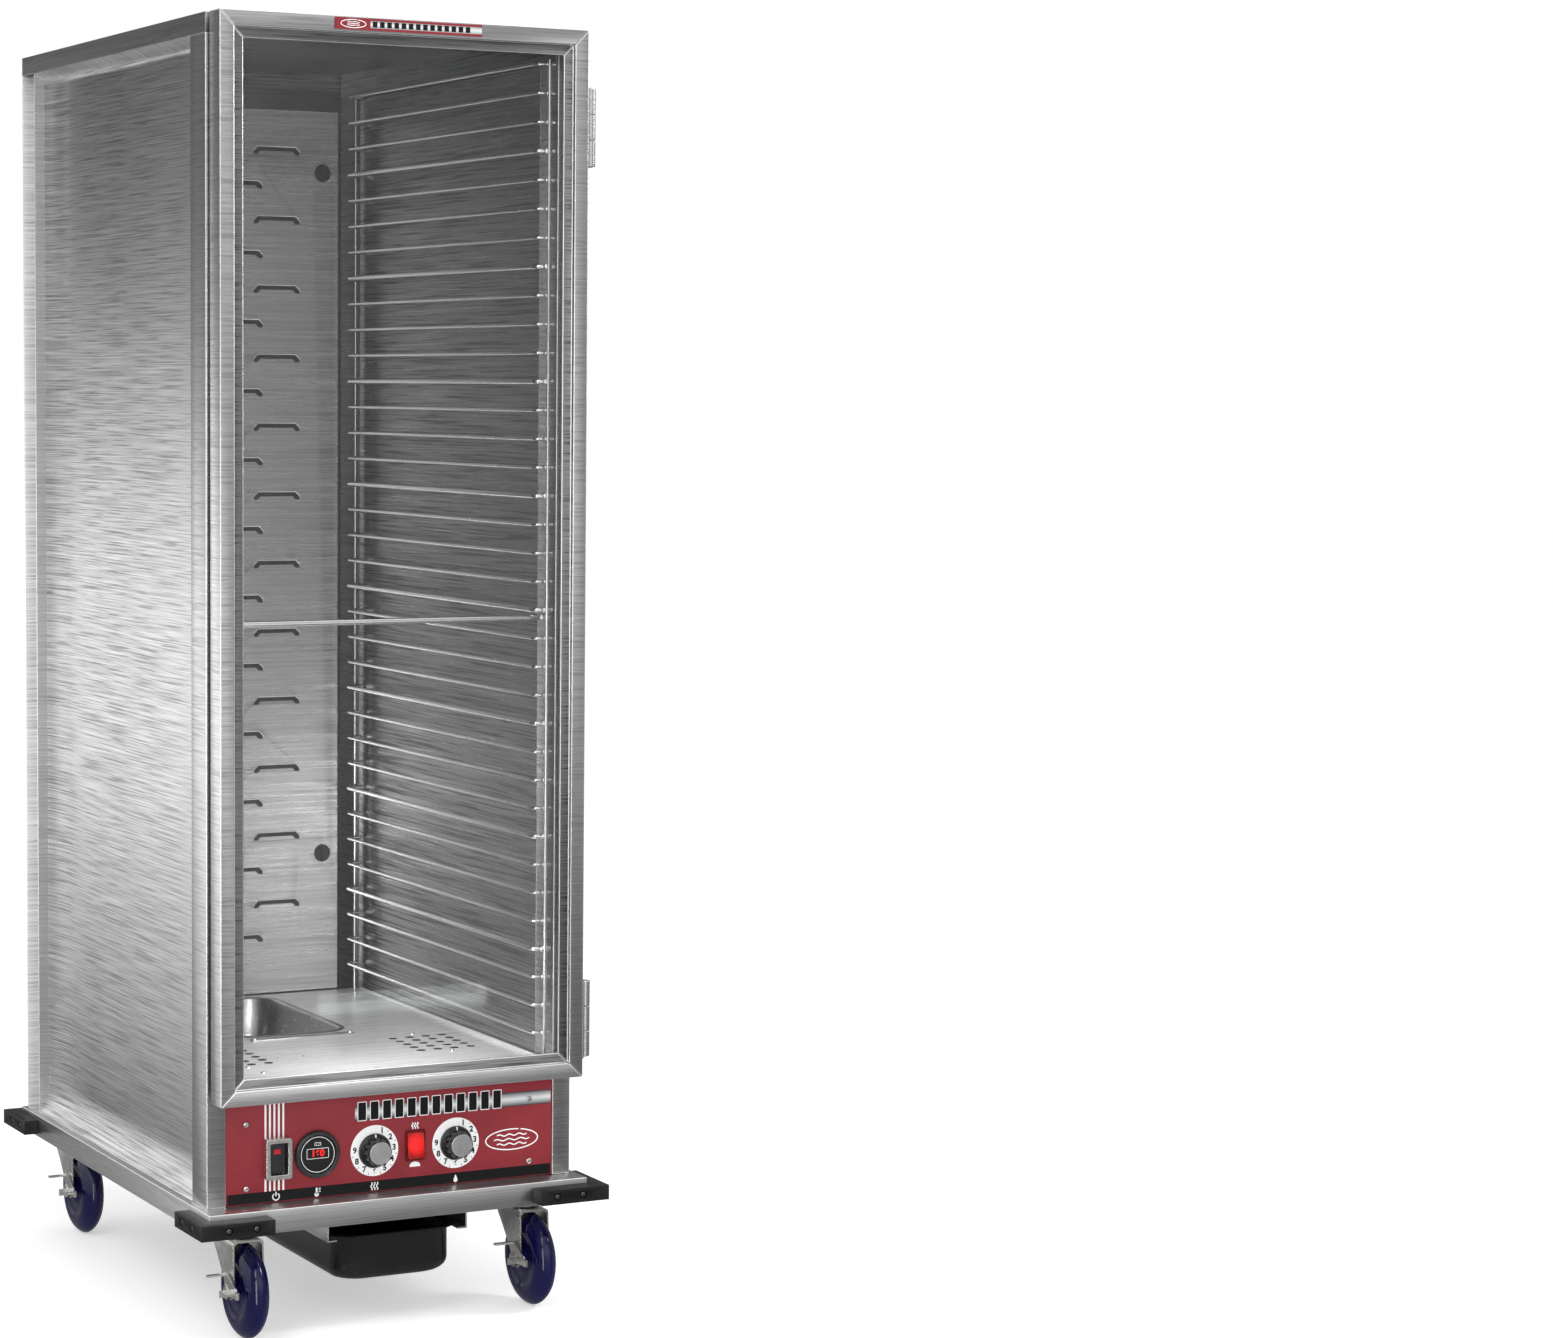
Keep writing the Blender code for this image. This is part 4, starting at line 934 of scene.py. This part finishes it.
def make_deck():
    top = DECK_HIGH.z
    bm = blocks(tuple(zip(DECK_LOW, DECK_HIGH)))
    bm = boolean(bm, blocks(((-0.3, 0.3), (DECK_LOW.y + SHEET, PAST_REAR), (DECK_LOW.z - 0.01, top - SHEET))))
    through = ("Z", top - 0.006, top + 0.006)
    holes = prism(rounded(-PAN_HALF, PAN_HALF, PAN_FRONT, PAN_BACK, 0.03, 8), *through)
    for place in vent_places():
        prism(circle(place, VENT_RADIUS, 20), *through, holes)
    for x in (-0.0896, -0.0513):
        prism(circle((x, -0.169), 0.0022, 14), *through, holes)
    bm = boolean(bm, holes)

    # Black on the vent holes' walls paints the shade inside them.
    def is_vent(centre, normal):
        in_sheet = top - SHEET - 0.001 < centre.z < top and abs(normal.z) < 0.3
        return in_sheet and -0.21 < centre.y < -0.085 and abs(centre.x) < 0.21

    skin("heater_deck", bm, DECK_LIT_METAL, "aluminium", zones=((BLACK, is_vent),), sharp=30.0)
    # Black plates under the vent holes paint the shade beneath them.
    painted_shade_covers, beads = bmesh.new(), bmesh.new()
    for side in (LEFT, RIGHT):
        inner, outer = sorted((side * 0.098, side * 0.202))
        prism(rounded(inner, outer, -0.208, -0.086, 0.004, 3), "Z", top - 0.005, top - 0.0035, painted_shade_covers)
        tube([(side * 0.231, y, top + 0.0022) for y in (-0.345, 0.3)], 0.0026, 12, beads)
    piece("vent_painted_shade", painted_shade_covers, BLACK, "module_metal")
    places = [(-0.146, -0.262, top), (0.0, -0.3, top)]
    places += [(s * 0.1495, y, top) for s in (LEFT, RIGHT) for y in (-0.078, -0.216)]
    screws("deck_screws", places, 0.0036, "Z", 1)
    piece("deck_beads", beads, DECK_LIT_METAL, "aluminium")
    lip = prism(rounded(-0.075, 0.078, -0.0405, -0.0275, 0.002, 3), "Z", top, top + 0.0018)
    piece("pan_stop", lip, MODULE_METAL, "aluminium", (), 0.0005)
    screws("pan_stop_pins", [(x, -0.034, top + 0.0018) for x in (-0.07, 0.073)], 0.0042, "Z", 1)


PAN_RIM = 0.009


def deep_pan(node, wall, taper, corner, foot):
    """An open pan hung by its rim: rounded corners, a rounded foot, tapered sides and a rolled rim."""
    low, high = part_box(node)
    rim = PAN_RIM
    half = high.x - rim
    y0, y1 = low.y + rim, high.y - rim
    floor, top = low.z, high.z

    def ring(inset, z, radius):
        outline = rounded(-half + inset, half - inset, y0 + inset, y1 - inset, max(radius, 0.002), 8)
        return [Vector((u, v, z)) for u, v in outline]

    def bowl(grow):
        made = []
        for i in range(7):
            across, up = (foot * (1 - turn(math.pi / 2 * i / 6)) for turn in (math.sin, math.cos))
            made.append(ring(taper + grow + across, floor + grow + up, corner - grow))
        return made

    lip = ((0.0005, 0.003, 0), (-0.0008, 0.0018, 0), (-rim + 0.0008, 0.0016, rim), (-rim, 0.0009, rim))
    lip += ((-rim + 0.0006, 0.0, rim), (-0.001, 0.0, 0), (wall * 0.4, 0.0006, 0), (wall, 0.0022, 0))
    edge = [ring(inset, top - down, corner + more) for inset, down, more in lip]
    return loft(bowl(0.0) + edge + bowl(wall)[::-1])


def make_pans():
    for node, sizes, material, slot in (
        ("water_pan", (0.0012, 0.006, 0.033, 0.009), PAN_STEEL, "bright_steel"),
        ("drip_pan", (0.0024, 0.0004, 0.03, 0.018), DRIP_BLACK, "black_pan"),
    ):
        skin(node, deep_pan(node, *sizes), material, slot, sharp=60.0)
    softened("drip_pan_cradle", ALUMINIUM, 0.0005)


# Controls


DIAL_FOOT, DIAL_STEP = 180.0, 31.5  # degrees
DIGIT_REACH = 0.0282
FLUTES, FLUTE_DEPTH, FLUTED_RINGS = 12, 0.0016, (5, 6, 7)


def words(text, x, z, size, y, thick, bm):
    """Digits cut from the built-in typeface, lying on a face that looks along -Y."""
    curve = bpy.data.curves.new("digits", "FONT")
    curve.body = text
    curve.size = size
    curve.align_x = "CENTER"
    curve.align_y = "CENTER"
    curve.extrude = thick / 2
    curve.offset = size * 0.035
    obj = placed("digits", curve)
    bpy.context.view_layer.update()
    evaluated = obj.evaluated_get(bpy.context.evaluated_depsgraph_get())
    mesh = bpy.data.meshes.new_from_object(evaluated)
    mesh.transform(Matrix.Translation((x, y, z)) @ Matrix.Rotation(math.pi / 2, 4, "X"))
    bm.from_mesh(mesh)
    bpy.data.objects.remove(obj)
    bpy.data.curves.remove(curve)
    bpy.data.meshes.remove(mesh)


def oblong(x0, x1, z0, z1):
    return [(x0, z0), (x1, z0), (x1, z1), (x0, z1)]


def print_on(name, outlines, face, material, thick=0.00012, slot="red_panel"):
    bm = bmesh.new()
    for outline in outlines:
        facing(outline, face - thick, face, bm)
    piece(name, bm, material, slot)


def ring_outline(x, z, outer, inner, face, thick, bm):
    profile = [(outer, 0.0), (outer, -thick), (inner, -thick), (inner, 0.0), (outer, 0.0)]
    turned(profile, (x, face, z), "Y", 72, bm)


KNOB_PROFILE = (
    (0.0222, 0.0), (0.023, -0.0006), (0.0229, -0.0022), (0.0218, -0.0032), (0.0184, -0.004),
    (0.018, -0.005), (0.0174, -0.0168), (0.017, -0.019), (0.0162, -0.0202), (0.0155, -0.0206),
)


def make_knob(node, label):
    x, _, z = middle(node)
    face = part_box(node)[1].y
    body = BODY_OF[node]
    grip = turned(KNOB_PROFILE, (x, face, z), "Y", 144, None, FLUTES, FLUTE_DEPTH, FLUTED_RINGS)
    skin(node, grip, DIAL_BLACK, "black_plastic")
    cap = turned([(0.015, -0.02), (0.015, -0.0211), (0.0146, -0.0215)], (x, face, z), "Y", 48)
    piece(f"{node}_cap", cap, CAP_STEEL, "bright_steel", body=body)
    wedge = ((-0.0011, 0.015), (0.0011, 0.015), (0.0008, 0.0222), (-0.0008, 0.0222))
    pointer = facing([(x + u, z + v) for u, v in wedge], face - 0.0048, face - 0.002)
    piece(f"{node}_pointer", pointer, INK_WHITE, "black_plastic", body=body)
    plate_face = PANEL_LOW.y
    ring, digits = bmesh.new(), bmesh.new()
    ring_outline(x, z, 0.034, 0.0215, plate_face, 0.00025, ring)
    piece(f"{label}_dial_ring", ring, INK_WHITE, "red_panel")
    for number in range(1, 10):
        angle = math.radians(DIAL_FOOT + DIAL_STEP * (number - 6))
        at = (x + DIGIT_REACH * math.sin(angle), z + DIGIT_REACH * math.cos(angle))
        words(str(number), *at, 0.0108, plate_face - 0.0003, 0.00014, digits)
    piece(f"{label}_dial_digits", digits, INK_BLACK, "red_panel")
    ticks = bmesh.new()
    for number in range(8):
        angle = math.radians(DIAL_FOOT + DIAL_STEP * (number - 4.5))
        tick = blocks(((-0.00035, 0.00035), (plate_face - 0.00036, plate_face - 0.0002), (0.03, 0.0332)))
        spin = Matrix.Translation((x, 0, z)) @ Matrix.Rotation(angle, 4, "Y")
        ticks = combined(ticks, moved(tick, spin))
    piece(f"{label}_dial_ticks", ticks, INK_BLACK, "red_panel")


def make_rocker(node, material, slot, mark=None):
    skin(node, packed_mesh(node), material, slot, 0.0008, 3, 8.0)
    if mark:
        low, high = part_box(node)
        x, _, z = middle(node)
        half = (high.z - low.z) / 2
        bottom, top = 0.3, 0.62
        rings = []
        for lift in (0.0, 0.00025):
            ring = []
            for dx, share in ((-0.0045, bottom), (0.0045, bottom), (0.0045, top), (-0.0045, top)):
                # The upper face leans back towards its top edge.
                depth = low.y + 0.002 + 0.0016 * share - 0.00015 + lift
                ring.append(Vector((x + dx, depth, z + half * share)))
            rings.append(ring)
        piece(f"{node}_mark", loft(rings), mark, slot, body=BODY_OF[node])


BAR_Z = (0.2765, 0.2955)
BAR_LEFT = -0.0534
BAR_COUNT = 12
BAR_PITCH = 0.0178
STRIPE_LEFT, STRIPE_COUNT, STRIPE_PITCH, STRIPE_WIDE = -0.1805, 5, 0.0062, 0.0026
SIGN_Z = 0.1867
SIGN_LINE = 0.0016


def stroke(points, width=SIGN_LINE):
    """The outline of a ribbon along a path in X and Z."""
    left, right = [], []
    for i, (x, z) in enumerate(points):
        ahead, behind = points[min(i + 1, len(points) - 1)], points[max(i - 1, 0)]
        dx, dz = ahead[0] - behind[0], ahead[1] - behind[1]
        size = math.hypot(dx, dz)
        nx, nz = -dz / size * width / 2, dx / size * width / 2
        left.append((x + nx, z + nz))
        right.append((x - nx, z - nz))
    return left + right[::-1]


def ripple(step, height):
    return height * math.sin(2 * math.pi * step / 8)


def waves(x, z, tall, gap):
    """Upright wavy strokes, a plain sign for warmth."""
    made = []
    for number in (-1, 0, 1):
        centre = x + gap * number
        path = [(centre + ripple(t, 0.001), z + tall * (t / 12 - 0.5)) for t in range(13)]
        made.append(stroke(path, 0.0015))
    return made


def drop(x, z, size):
    """A water drop, a plain sign for moisture."""
    turns = [math.radians(d) for d in range(-210, 31, 20)]
    radius, low = size * 0.55, z - size * 0.35
    return [(x + radius * math.cos(a), low + radius * math.sin(a)) for a in turns] + [(x, z + size)]


def arc(x, z, radius, start, end, steps=20, squash=1.0):
    turns = [math.radians(start + (end - start) * i / steps) for i in range(steps + 1)]
    return [(x + radius * math.sin(a), z + radius * squash * math.cos(a)) for a in turns]


def make_signs(face):
    """Plain signs in place of words: power, temperature, heat and moisture, and an oval of wavy lines."""
    power, warm, heat, wet = -0.1645, -0.1076, -0.0256, 0.0918
    z = SIGN_Z
    signs = [stroke(arc(power, z - 0.0006, 0.0046, 35, 325)), stroke([(power, z), (power, z + 0.0058)])]
    signs += [stroke([(warm, z - 0.0025), (warm, z + 0.0056)], 0.0026), circle((warm, z - 0.003), 0.0031, 20)]
    for height in (0.0004, 0.0026, 0.0048):
        signs.append(stroke([(warm + 0.003, z + height), (warm + 0.0056, z + height)], 0.001))
    signs += waves(heat, z, 0.0105, 0.004)
    signs.append(drop(wet, z - 0.0006, 0.0056))
    mode_x = middle("mode_switch")[0]
    signs += waves(mode_x, MODE_HIGH.z + 0.0085, 0.0085, 0.0036)
    loaf = MODE_LOW.z - 0.0115
    crust = [(-0.0075, 0.0), (-0.0075, 0.0026), (-0.0052, 0.0056)]
    signs.append([(mode_x + u, loaf + w) for u, w in crust + [(0.0, 0.0068)] + mirrored(crust)])
    print_on("panel_signs", signs, face, INK_WHITE, 0.0002)
    oval_x, oval_z, long, squash = 0.1745, 0.2318, 0.0385, 0.36
    lines = [stroke(arc(oval_x, oval_z, long, 20, 375, 64, squash))]
    for number in range(3):
        z = oval_z + 0.0062 * (1 - number)
        reach = 0.026 - 0.004 * abs(1 - number)
        wave = [(oval_x + reach * (t / 12 - 1), z + ripple(t, 0.0012)) for t in range(25)]
        lines.append(stroke(wave))
    print_on("panel_oval", lines, face, INK_WHITE, 0.00016)


THERMO_PROFILE = (
    (0.0312, 0.0), (0.0315, -0.0006), (0.0313, -0.0036), (0.0303, -0.005), (0.0288, -0.0061),
    (0.0268, -0.0062), (0.0258, -0.0056), (0.0252, -0.0036),
)


def window(x, z, half, tall, radius, front, back):
    """A small rounded plate round a centre, reaching half to each side and tall up and down."""
    return facing(rounded(x - half, x + half, z - tall, z + tall, radius, 3), front, back)


def make_controls():
    face = PANEL_LOW.y
    softened("control_panel", RED, 0.0004, slot="red_panel")
    left, right = PANEL_LOW.x + 0.002, PANEL_HIGH.x - 0.002
    bottom, top = PANEL_LOW.z + 0.001, PANEL_HIGH.z - 0.001
    strip_top = 0.194
    print_on("panel_strip", [oblong(left, right, bottom, strip_top)], face, INK_BLACK)
    stripes = []
    for i in range(STRIPE_COUNT):
        x = STRIPE_LEFT + STRIPE_PITCH * i
        stripes.append(oblong(x, x + STRIPE_WIDE, strip_top, top))
    print_on("panel_stripes", stripes, face, INK_WHITE)
    low, high = BAR_Z
    silver = silvered("panel_silver_painted_sheen", low, high)
    print_on("panel_bar", [oblong(BAR_LEFT, right, low, high)], face, silver, 0.00014, "aluminium")
    edges, fills = [], []
    for i in range(BAR_COUNT):
        x = BAR_LEFT + 0.0045 + BAR_PITCH * i
        edges.append(rounded(x - 0.001, x + 0.0122, 0.2752, 0.301, 0.0012, 3))
        fills.append(rounded(x, x + 0.0112, 0.2762, 0.3, 0.0008, 3))
    print_on("panel_bar_edges", edges, face, INK_WHITE, 0.0002)
    print_on("panel_bar_fills", fills, face, INK_BLACK, 0.00026)
    places = [(x, face, z) for x in (-0.206, 0.2) for z in (0.2, 0.2845)]
    screws("panel_screws", places, 0.004)
    make_signs(face)

    guard_x, _, guard_z = middle("power_guard")
    guard = (GUARD_LOW.y, GUARD_HIGH.y)
    plate = facing(rounded(GUARD_LOW.x, GUARD_HIGH.x, GUARD_LOW.z, GUARD_HIGH.z, 0.004), *guard)
    well = window(guard_x, guard_z, 0.012, 0.0205, 0.0015, guard[0] - 0.01, guard[1] + 0.01)
    skin("power_guard", boolean(plate, well), ZINC, "bright_steel", 0.0012, 3)
    back = window(guard_x, guard_z, 0.0118, 0.0203, 0.0015, face - 0.0006, face)
    piece("power_switch_bed", back, BLACK, "black_plastic")
    make_rocker("power_switch", BLACK, "black_plastic", INK_RED)

    x, _, z = middle("mode_switch")
    bezel = window(x, z, 0.0142, 0.0204, 0.0015, face - 0.003, face)
    hole = window(x, z, 0.0126, 0.019, 0.0008, face - 0.01, face + 0.01)
    piece("mode_switch_bezel", boolean(bezel, hole), LENS_RED, "red_plastic", (), 0.0006)
    glow = glowing("switch_glow", (0.9, 0.01, 0.008), 0.45, (x, MODE_LOW.y, z + 0.002), 0.0175)
    make_rocker("mode_switch", glow, "red_plastic")

    x, _, z = middle("thermometer")
    base = THERMO_HIGH.y
    skin("thermometer", turned(THERMO_PROFILE, (x, base, z), "Y", 72), DIAL_BLACK, "black_plastic")
    glass = base - 0.0036
    ink, cut = (glass - 0.0002, glass), (glass - 0.001, glass + 0.001)
    marks = bmesh.new()
    ring_outline(x, z, 0.0236, 0.0229, glass, 0.0002, marks)
    window_z, icon_z = z + 0.0015, z + 0.014
    outer = window(x, window_z, 0.0155, 0.0068, 0.0012, *ink)
    marks = combined(marks, boolean(outer, window(x, window_z, 0.0149, 0.0062, 0.0008, *cut)))
    outer = window(x, icon_z, 0.0045, 0.0022, 0.0006, *ink)
    marks = combined(marks, boolean(outer, window(x, icon_z, 0.004, 0.0017, 0.0004, *cut)))
    for dx in (-0.0016, 0.0016):
        facing(circle((x + dx, icon_z), 0.0006, 12), *ink, marks)
    piece("thermometer_marks", marks, INK_WHITE, "black_plastic")
    digits = bmesh.new()
    words("160", x, window_z, 0.0125, glass - 0.0001, 0.0002, digits)
    lit = glowing("digit_glow", (0.9, 0.012, 0.01), 0.5, (x, glass, window_z), 0.03)
    piece("thermometer_digits", digits, lit, "red_plastic")

    make_knob("heat_knob", "heat")
    make_knob("humidity_knob", "humidity")


# Door


def make_door():
    face = RAIL_LOW.y

    def is_lip(centre, normal):
        return abs(normal.y) > 0.9 and face + 0.003 < centre.y < face + 0.009

    # The recessed lip faces take a darker copy of the metal: painted shade.
    shaded_lips = ((LIP_SHADED_METAL, is_lip),)
    softened("door_rail_top", RAIL_METAL, 0.0009, shiny=True, zones=shaded_lips)
    softened("door_rail_bottom", RAIL_METAL, 0.0012, shiny=True, zones=shaded_lips)
    for _, where in SIDES:
        softened(f"door_stile_{where}", STILE_METAL, 0.0012, shiny=True, zones=shaded_lips)
    softened("door_panel", CLEAR, 0.0005, slot="clear_panel")
    softened("door_gasket", GASKET, 0.002, 3, "gasket_rubber")
    low, high = 1.6928, 1.7078
    plate = facing(rounded(-0.103, 0.103, low, high, 0.0012), face - 0.001, face - 0.0002)
    piece("name_plate", plate, RED, "red_panel", (), 0.0003, body=DOOR)
    front = face - 0.001
    ink = (front - 0.0001, front)
    bm = facing(rounded(-0.054, 0.1022, low + 0.003, high - 0.003, 0.0006), *ink)
    piece("name_plate_field", bm, silvered("plate_silver_painted_sheen", low, high), "aluminium", body=DOOR)
    z = (low + high) / 2
    bm = facing(stroke(arc(-0.0775, z, 0.0172, 20, 375, 48, 0.3), 0.001), *ink)
    for t in (-1, 0, 1):
        wave = [(-0.086 + 0.0017 * i, z + 0.0022 * t + 0.0004 * math.sin(i * 1.2)) for i in range(11)]
        facing(stroke(wave, 0.0008), *ink, bm)
    piece("name_plate_oval", bm, INK_WHITE, "red_panel", body=DOOR)
    bm = bmesh.new()
    for number in range(14):
        x = -0.051 + 0.01 * number
        bar = rounded(x, x + 0.0064, low + 0.004, high - 0.0036, 0.0004, 2)
        facing(bar, front - 0.0002, front - 0.0001, bm)
    piece("name_plate_bars", bm, INK_BLACK, "red_panel", body=DOOR)


HINGE_Y = -0.382
BODY_LEAF_X = (0.2611, 0.2636)
DOOR_LEAF_X = (0.2583, 0.2606)


def make_hinge(where):
    body_node, door_node = f"hinge_body_leaf_{where}", f"hinge_door_leaf_{where}"
    low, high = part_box(door_node)
    x, y = high.x - 0.0065, HINGE_Y
    bottom, top = low.z, high.z
    third = (top - bottom) / 3
    lower, upper = bottom + third, top - third
    leaf = blocks(
        (BODY_LEAF_X, (y + 0.018, -0.322), (bottom, top)),
        (BODY_LEAF_X, (y + 0.0022, y + 0.019), (lower + 0.0007, upper - 0.0007)),
        ((BODY_LEAF_X[0], x), (y + 0.0024, y + 0.0047), (lower + 0.0009, upper - 0.0009)),
    )
    piece(f"hinge_body_leaf_skin_{where}", leaf, STEEL, "steel", (body_node,), 0.0005)
    foot, head = (corner.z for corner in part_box(body_node))
    pin = [(0.0024, foot), (0.0028, foot + 0.0004), (0.0028, lower + 0.0006), (0.006, lower + 0.0006)]
    pin += [(0.0065, lower + 0.0012), (0.0065, upper - 0.0012), (0.006, upper - 0.0006)]
    pin += [(0.0028, upper - 0.0006), (0.0028, head - 0.0004), (0.0024, head)]
    piece(f"hinge_pin_{where}", turned(pin, (x, y, 0), "Z", 32), STEEL, "steel")
    tongue = ((DOOR_LEAF_X[0] + 0.0004, x), (y - 0.0047, y - 0.0022))
    swing = blocks(
        (DOOR_LEAF_X, (-0.4, -0.369), (bottom, top)),
        (*tongue, (bottom + 0.0003, lower - 0.0003)),
        (*tongue, (upper + 0.0003, top - 0.0003)),
    )
    piece(f"hinge_door_leaf_skin_{where}", swing, STEEL, "steel", (door_node,), 0.0005)
    knuckles = bmesh.new()
    for z0, z1 in ((bottom, lower), (upper, top)):
        ring = [(0.0033, z0 + 0.0001), (0.006, z0 + 0.0001), (0.0065, z0 + 0.0007)]
        ring += [(0.0065, z1 - 0.0007), (0.006, z1 - 0.0001), (0.0033, z1 - 0.0001), ring[0]]
        turned(ring, (x, y, 0), "Z", 32, knuckles)
    piece(f"hinge_knuckles_{where}", knuckles, STEEL, "steel", body=DOOR)
    places = [(BODY_LEAF_X[1], -0.34, bottom + share * (top - bottom)) for share in (0.14, 0.5, 0.86)]
    screws(f"hinge_screws_{where}", places, 0.0034, "X", 1)


KEPT_FINISH = {
    "module_tray": MODULE_METAL,
    "water_heater": MODULE_METAL,
    "air_heater": RACK_STEEL,
    "blower_housing": MODULE_METAL,
    "blower_wheel": BLACK,
}

make_base()
for _, where in SIDES:
    for end, _ in ENDS:
        make_caster(where, end)
make_shell()
make_racks()
make_duct()
make_deck()
make_pans()
make_controls()
make_door()
for where in ("top", "bottom"):
    make_hinge(where)
for node, material in KEPT_FINISH.items():
    mesh = frame["nodes"][node].data
    mesh.materials.clear()
    mesh.materials.append(material)


# Floor, light and camera


def stage_plane(name, corners, material):
    bm = bmesh.new()
    bm.faces.new([bm.verts.new(c) for c in corners])
    mesh = as_mesh(name, bm)
    mesh.materials.append(material)
    obj = placed(name, mesh)
    return obj


def floor_material():
    nodes = Nodes("pale_floor")
    mottle = nodes.noise(nodes.place, 3.0, 3.0)
    nodes.sets(Base_Color=nodes.mixed(mottle, (0.9, 0.9, 0.9), (0.94, 0.94, 0.94)), Roughness=0.6)
    nodes.sets(Emission_Color=(1.0, 1.0, 1.0, 1.0), Emission_Strength=0.42)
    return nodes.material


def area_light(name, place, target, size, power):
    data = bpy.data.lights.new(name, "AREA")
    data.shape = "RECTANGLE"
    data.size, data.size_y = size
    data.energy = power
    obj = placed(name, data)
    way = Vector(target) - Vector(place)
    obj.matrix_world = Matrix.Translation(place) @ way.to_track_quat("-Z", "Y").to_matrix().to_4x4()
    return obj


ROOM_MATT, ROOM_GLOSS, ROOM_SEEN = 0.75, 0.22, 1.0


def studio_world():
    """White to the camera, a soft even light for matt surfaces, and a darker grey room in reflections."""
    world = bpy.data.worlds.new("studio")
    world.use_nodes = True
    tree = world.node_tree
    ray = tree.nodes.new("ShaderNodeLightPath")
    background = tree.nodes["Background"]
    background.inputs["Color"].default_value = (1.0, 1.0, 1.0, 1.0)
    glossy = tree.nodes.new("ShaderNodeMapRange")
    tree.links.new(ray.outputs["Is Glossy Ray"], glossy.inputs[0])
    glossy.inputs[3].default_value = ROOM_MATT
    glossy.inputs[4].default_value = ROOM_GLOSS
    seen = tree.nodes.new("ShaderNodeMix")
    tree.links.new(ray.outputs["Is Camera Ray"], seen.inputs[0])
    tree.links.new(glossy.outputs[0], seen.inputs[2])
    seen.inputs[3].default_value = ROOM_SEEN
    tree.links.new(seen.outputs[0], background.inputs["Strength"])
    bpy.context.scene.world = world


def glow_card(name, corners, levels, fade=None):
    """A softbox seen only in reflections, as bright as levels of (height, brightness) say.

    fade, as (x0, brightness there, x1, brightness there), also runs it along X.
    """
    nodes = Nodes(name, "ShaderNodeEmission")
    split = nodes.split(nodes.place)
    curve = nodes.add("ShaderNodeFloatCurve")
    foot, head = levels[0][0], levels[-1][0]
    peak = max(level for _, level in levels)
    nodes.put(curve.inputs["Value"], nodes.ranged(split[2], foot, head))
    points = curve.mapping.curves[0].points
    wanted = [((height - foot) / (head - foot), level / peak) for height, level in levels]
    for point, at in zip((points[0], points[1]), (wanted[0], wanted[-1])):
        point.location = at
    for at in wanted[1:-1]:
        points.new(*at)
    curve.mapping.update()
    power = peak
    if fade:
        x0, first, x1, second = fade
        power = nodes.ranged(split[0], x0, x1, first * peak, second * peak)
    nodes.sets(Strength=nodes.maths("MULTIPLY", curve.outputs[0], power))
    card = stage_plane(name, corners, nodes.material)
    card.visible_camera = card.visible_diffuse = card.visible_shadow = card.visible_transmission = False


def make_stage():
    floor = stage_plane("floor", [(-30, -30, 0), (30, -30, 0), (30, 30, 0), (-30, 30, 0)], floor_material())
    floor.visible_glossy = False
    studio_world()
    glow_card(
        "side_card",
        [(-0.8, -0.4, 0.0), (-0.8, 3.2, 0.0), (-0.8, 3.2, 2.2), (-0.8, -0.4, 2.2)],
        ((0.0, 0.55), (0.35, 1.0), (0.75, 1.5), (1.1, 0.95), (1.45, 0.36), (1.75, 0.2), (2.2, 0.14)),
    )
    glow_card(
        "front_card",
        [(-1.8, -1.6, -0.8), (2.8, -1.6, -0.8), (2.8, -1.6, 2.4), (-1.8, -1.6, 2.4)],
        ((-0.8, 0.26), (-0.1, 0.3), (0.1, 0.36), (0.32, 0.6), (0.8, 0.95))
        + ((1.2, 0.55), (1.4, 0.45), (1.65, 0.6), (1.82, 0.75), (2.4, 0.6)),
        (0.35, 1.1, 0.9, 0.48),
    )
    strip = [(-1.95, -1.5, -0.7), (-1.6, -1.5, -0.7), (-1.6, -1.5, 0.9), (-1.95, -1.5, 0.9)]
    glow_card("strip_card", strip, ((-0.7, 8.0), (0.9, 8.0)))
    top = [(-1.5, -1.4, 2.9), (2.2, -1.4, 2.9), (2.2, 1.0, 2.9), (-1.5, 1.0, 2.9)]
    glow_card("top_card", top, ((2.8, 1.6), (3.0, 1.6)))
    area_light("key", (-2.6, -2.6, 2.9), (0, 0, 0.9), (1.6, 1.6), 45)
    area_light("front", (-0.7, -3.4, 0.9), (0, 0, 0.6), (0.9, 1.3), 24)
    area_light("right", (3.0, -1.6, 2.6), (0, 0, 0.4), (0.8, 0.8), 45)
    doorway = area_light("doorway", (0.0, -0.365, 0.52), (0.0, 0.15, 0.34), (0.24, 0.2), 1.2)
    doorway.visible_camera = False


def make_camera():
    yaw, pitch, roll = math.radians(27.38), math.radians(4.38), math.radians(0.45)
    ahead = Vector((math.sin(yaw) * math.cos(pitch), math.cos(yaw) * math.cos(pitch), -math.sin(pitch)))
    right = Vector((math.cos(yaw), -math.sin(yaw), 0.0))
    up = right.cross(ahead)
    turned_right = right * math.cos(roll) + up * math.sin(roll)
    turned_up = up * math.cos(roll) - right * math.sin(roll)
    data = bpy.data.cameras.new("camera")
    data.sensor_width = 36.0
    data.lens = 83.4
    data.shift_x = 0.0815
    data.clip_end = 100.0
    camera = placed("camera", data)
    place = Matrix((turned_right, turned_up, -ahead)).transposed().to_4x4()
    place.translation = (-1.8636, -4.6858, 1.2343)
    camera.matrix_world = place
    bpy.context.scene.camera = camera


make_stage()
make_camera()
bpy.context.scene.view_settings.view_transform = "Standard"

bpy.context.view_layer.update()
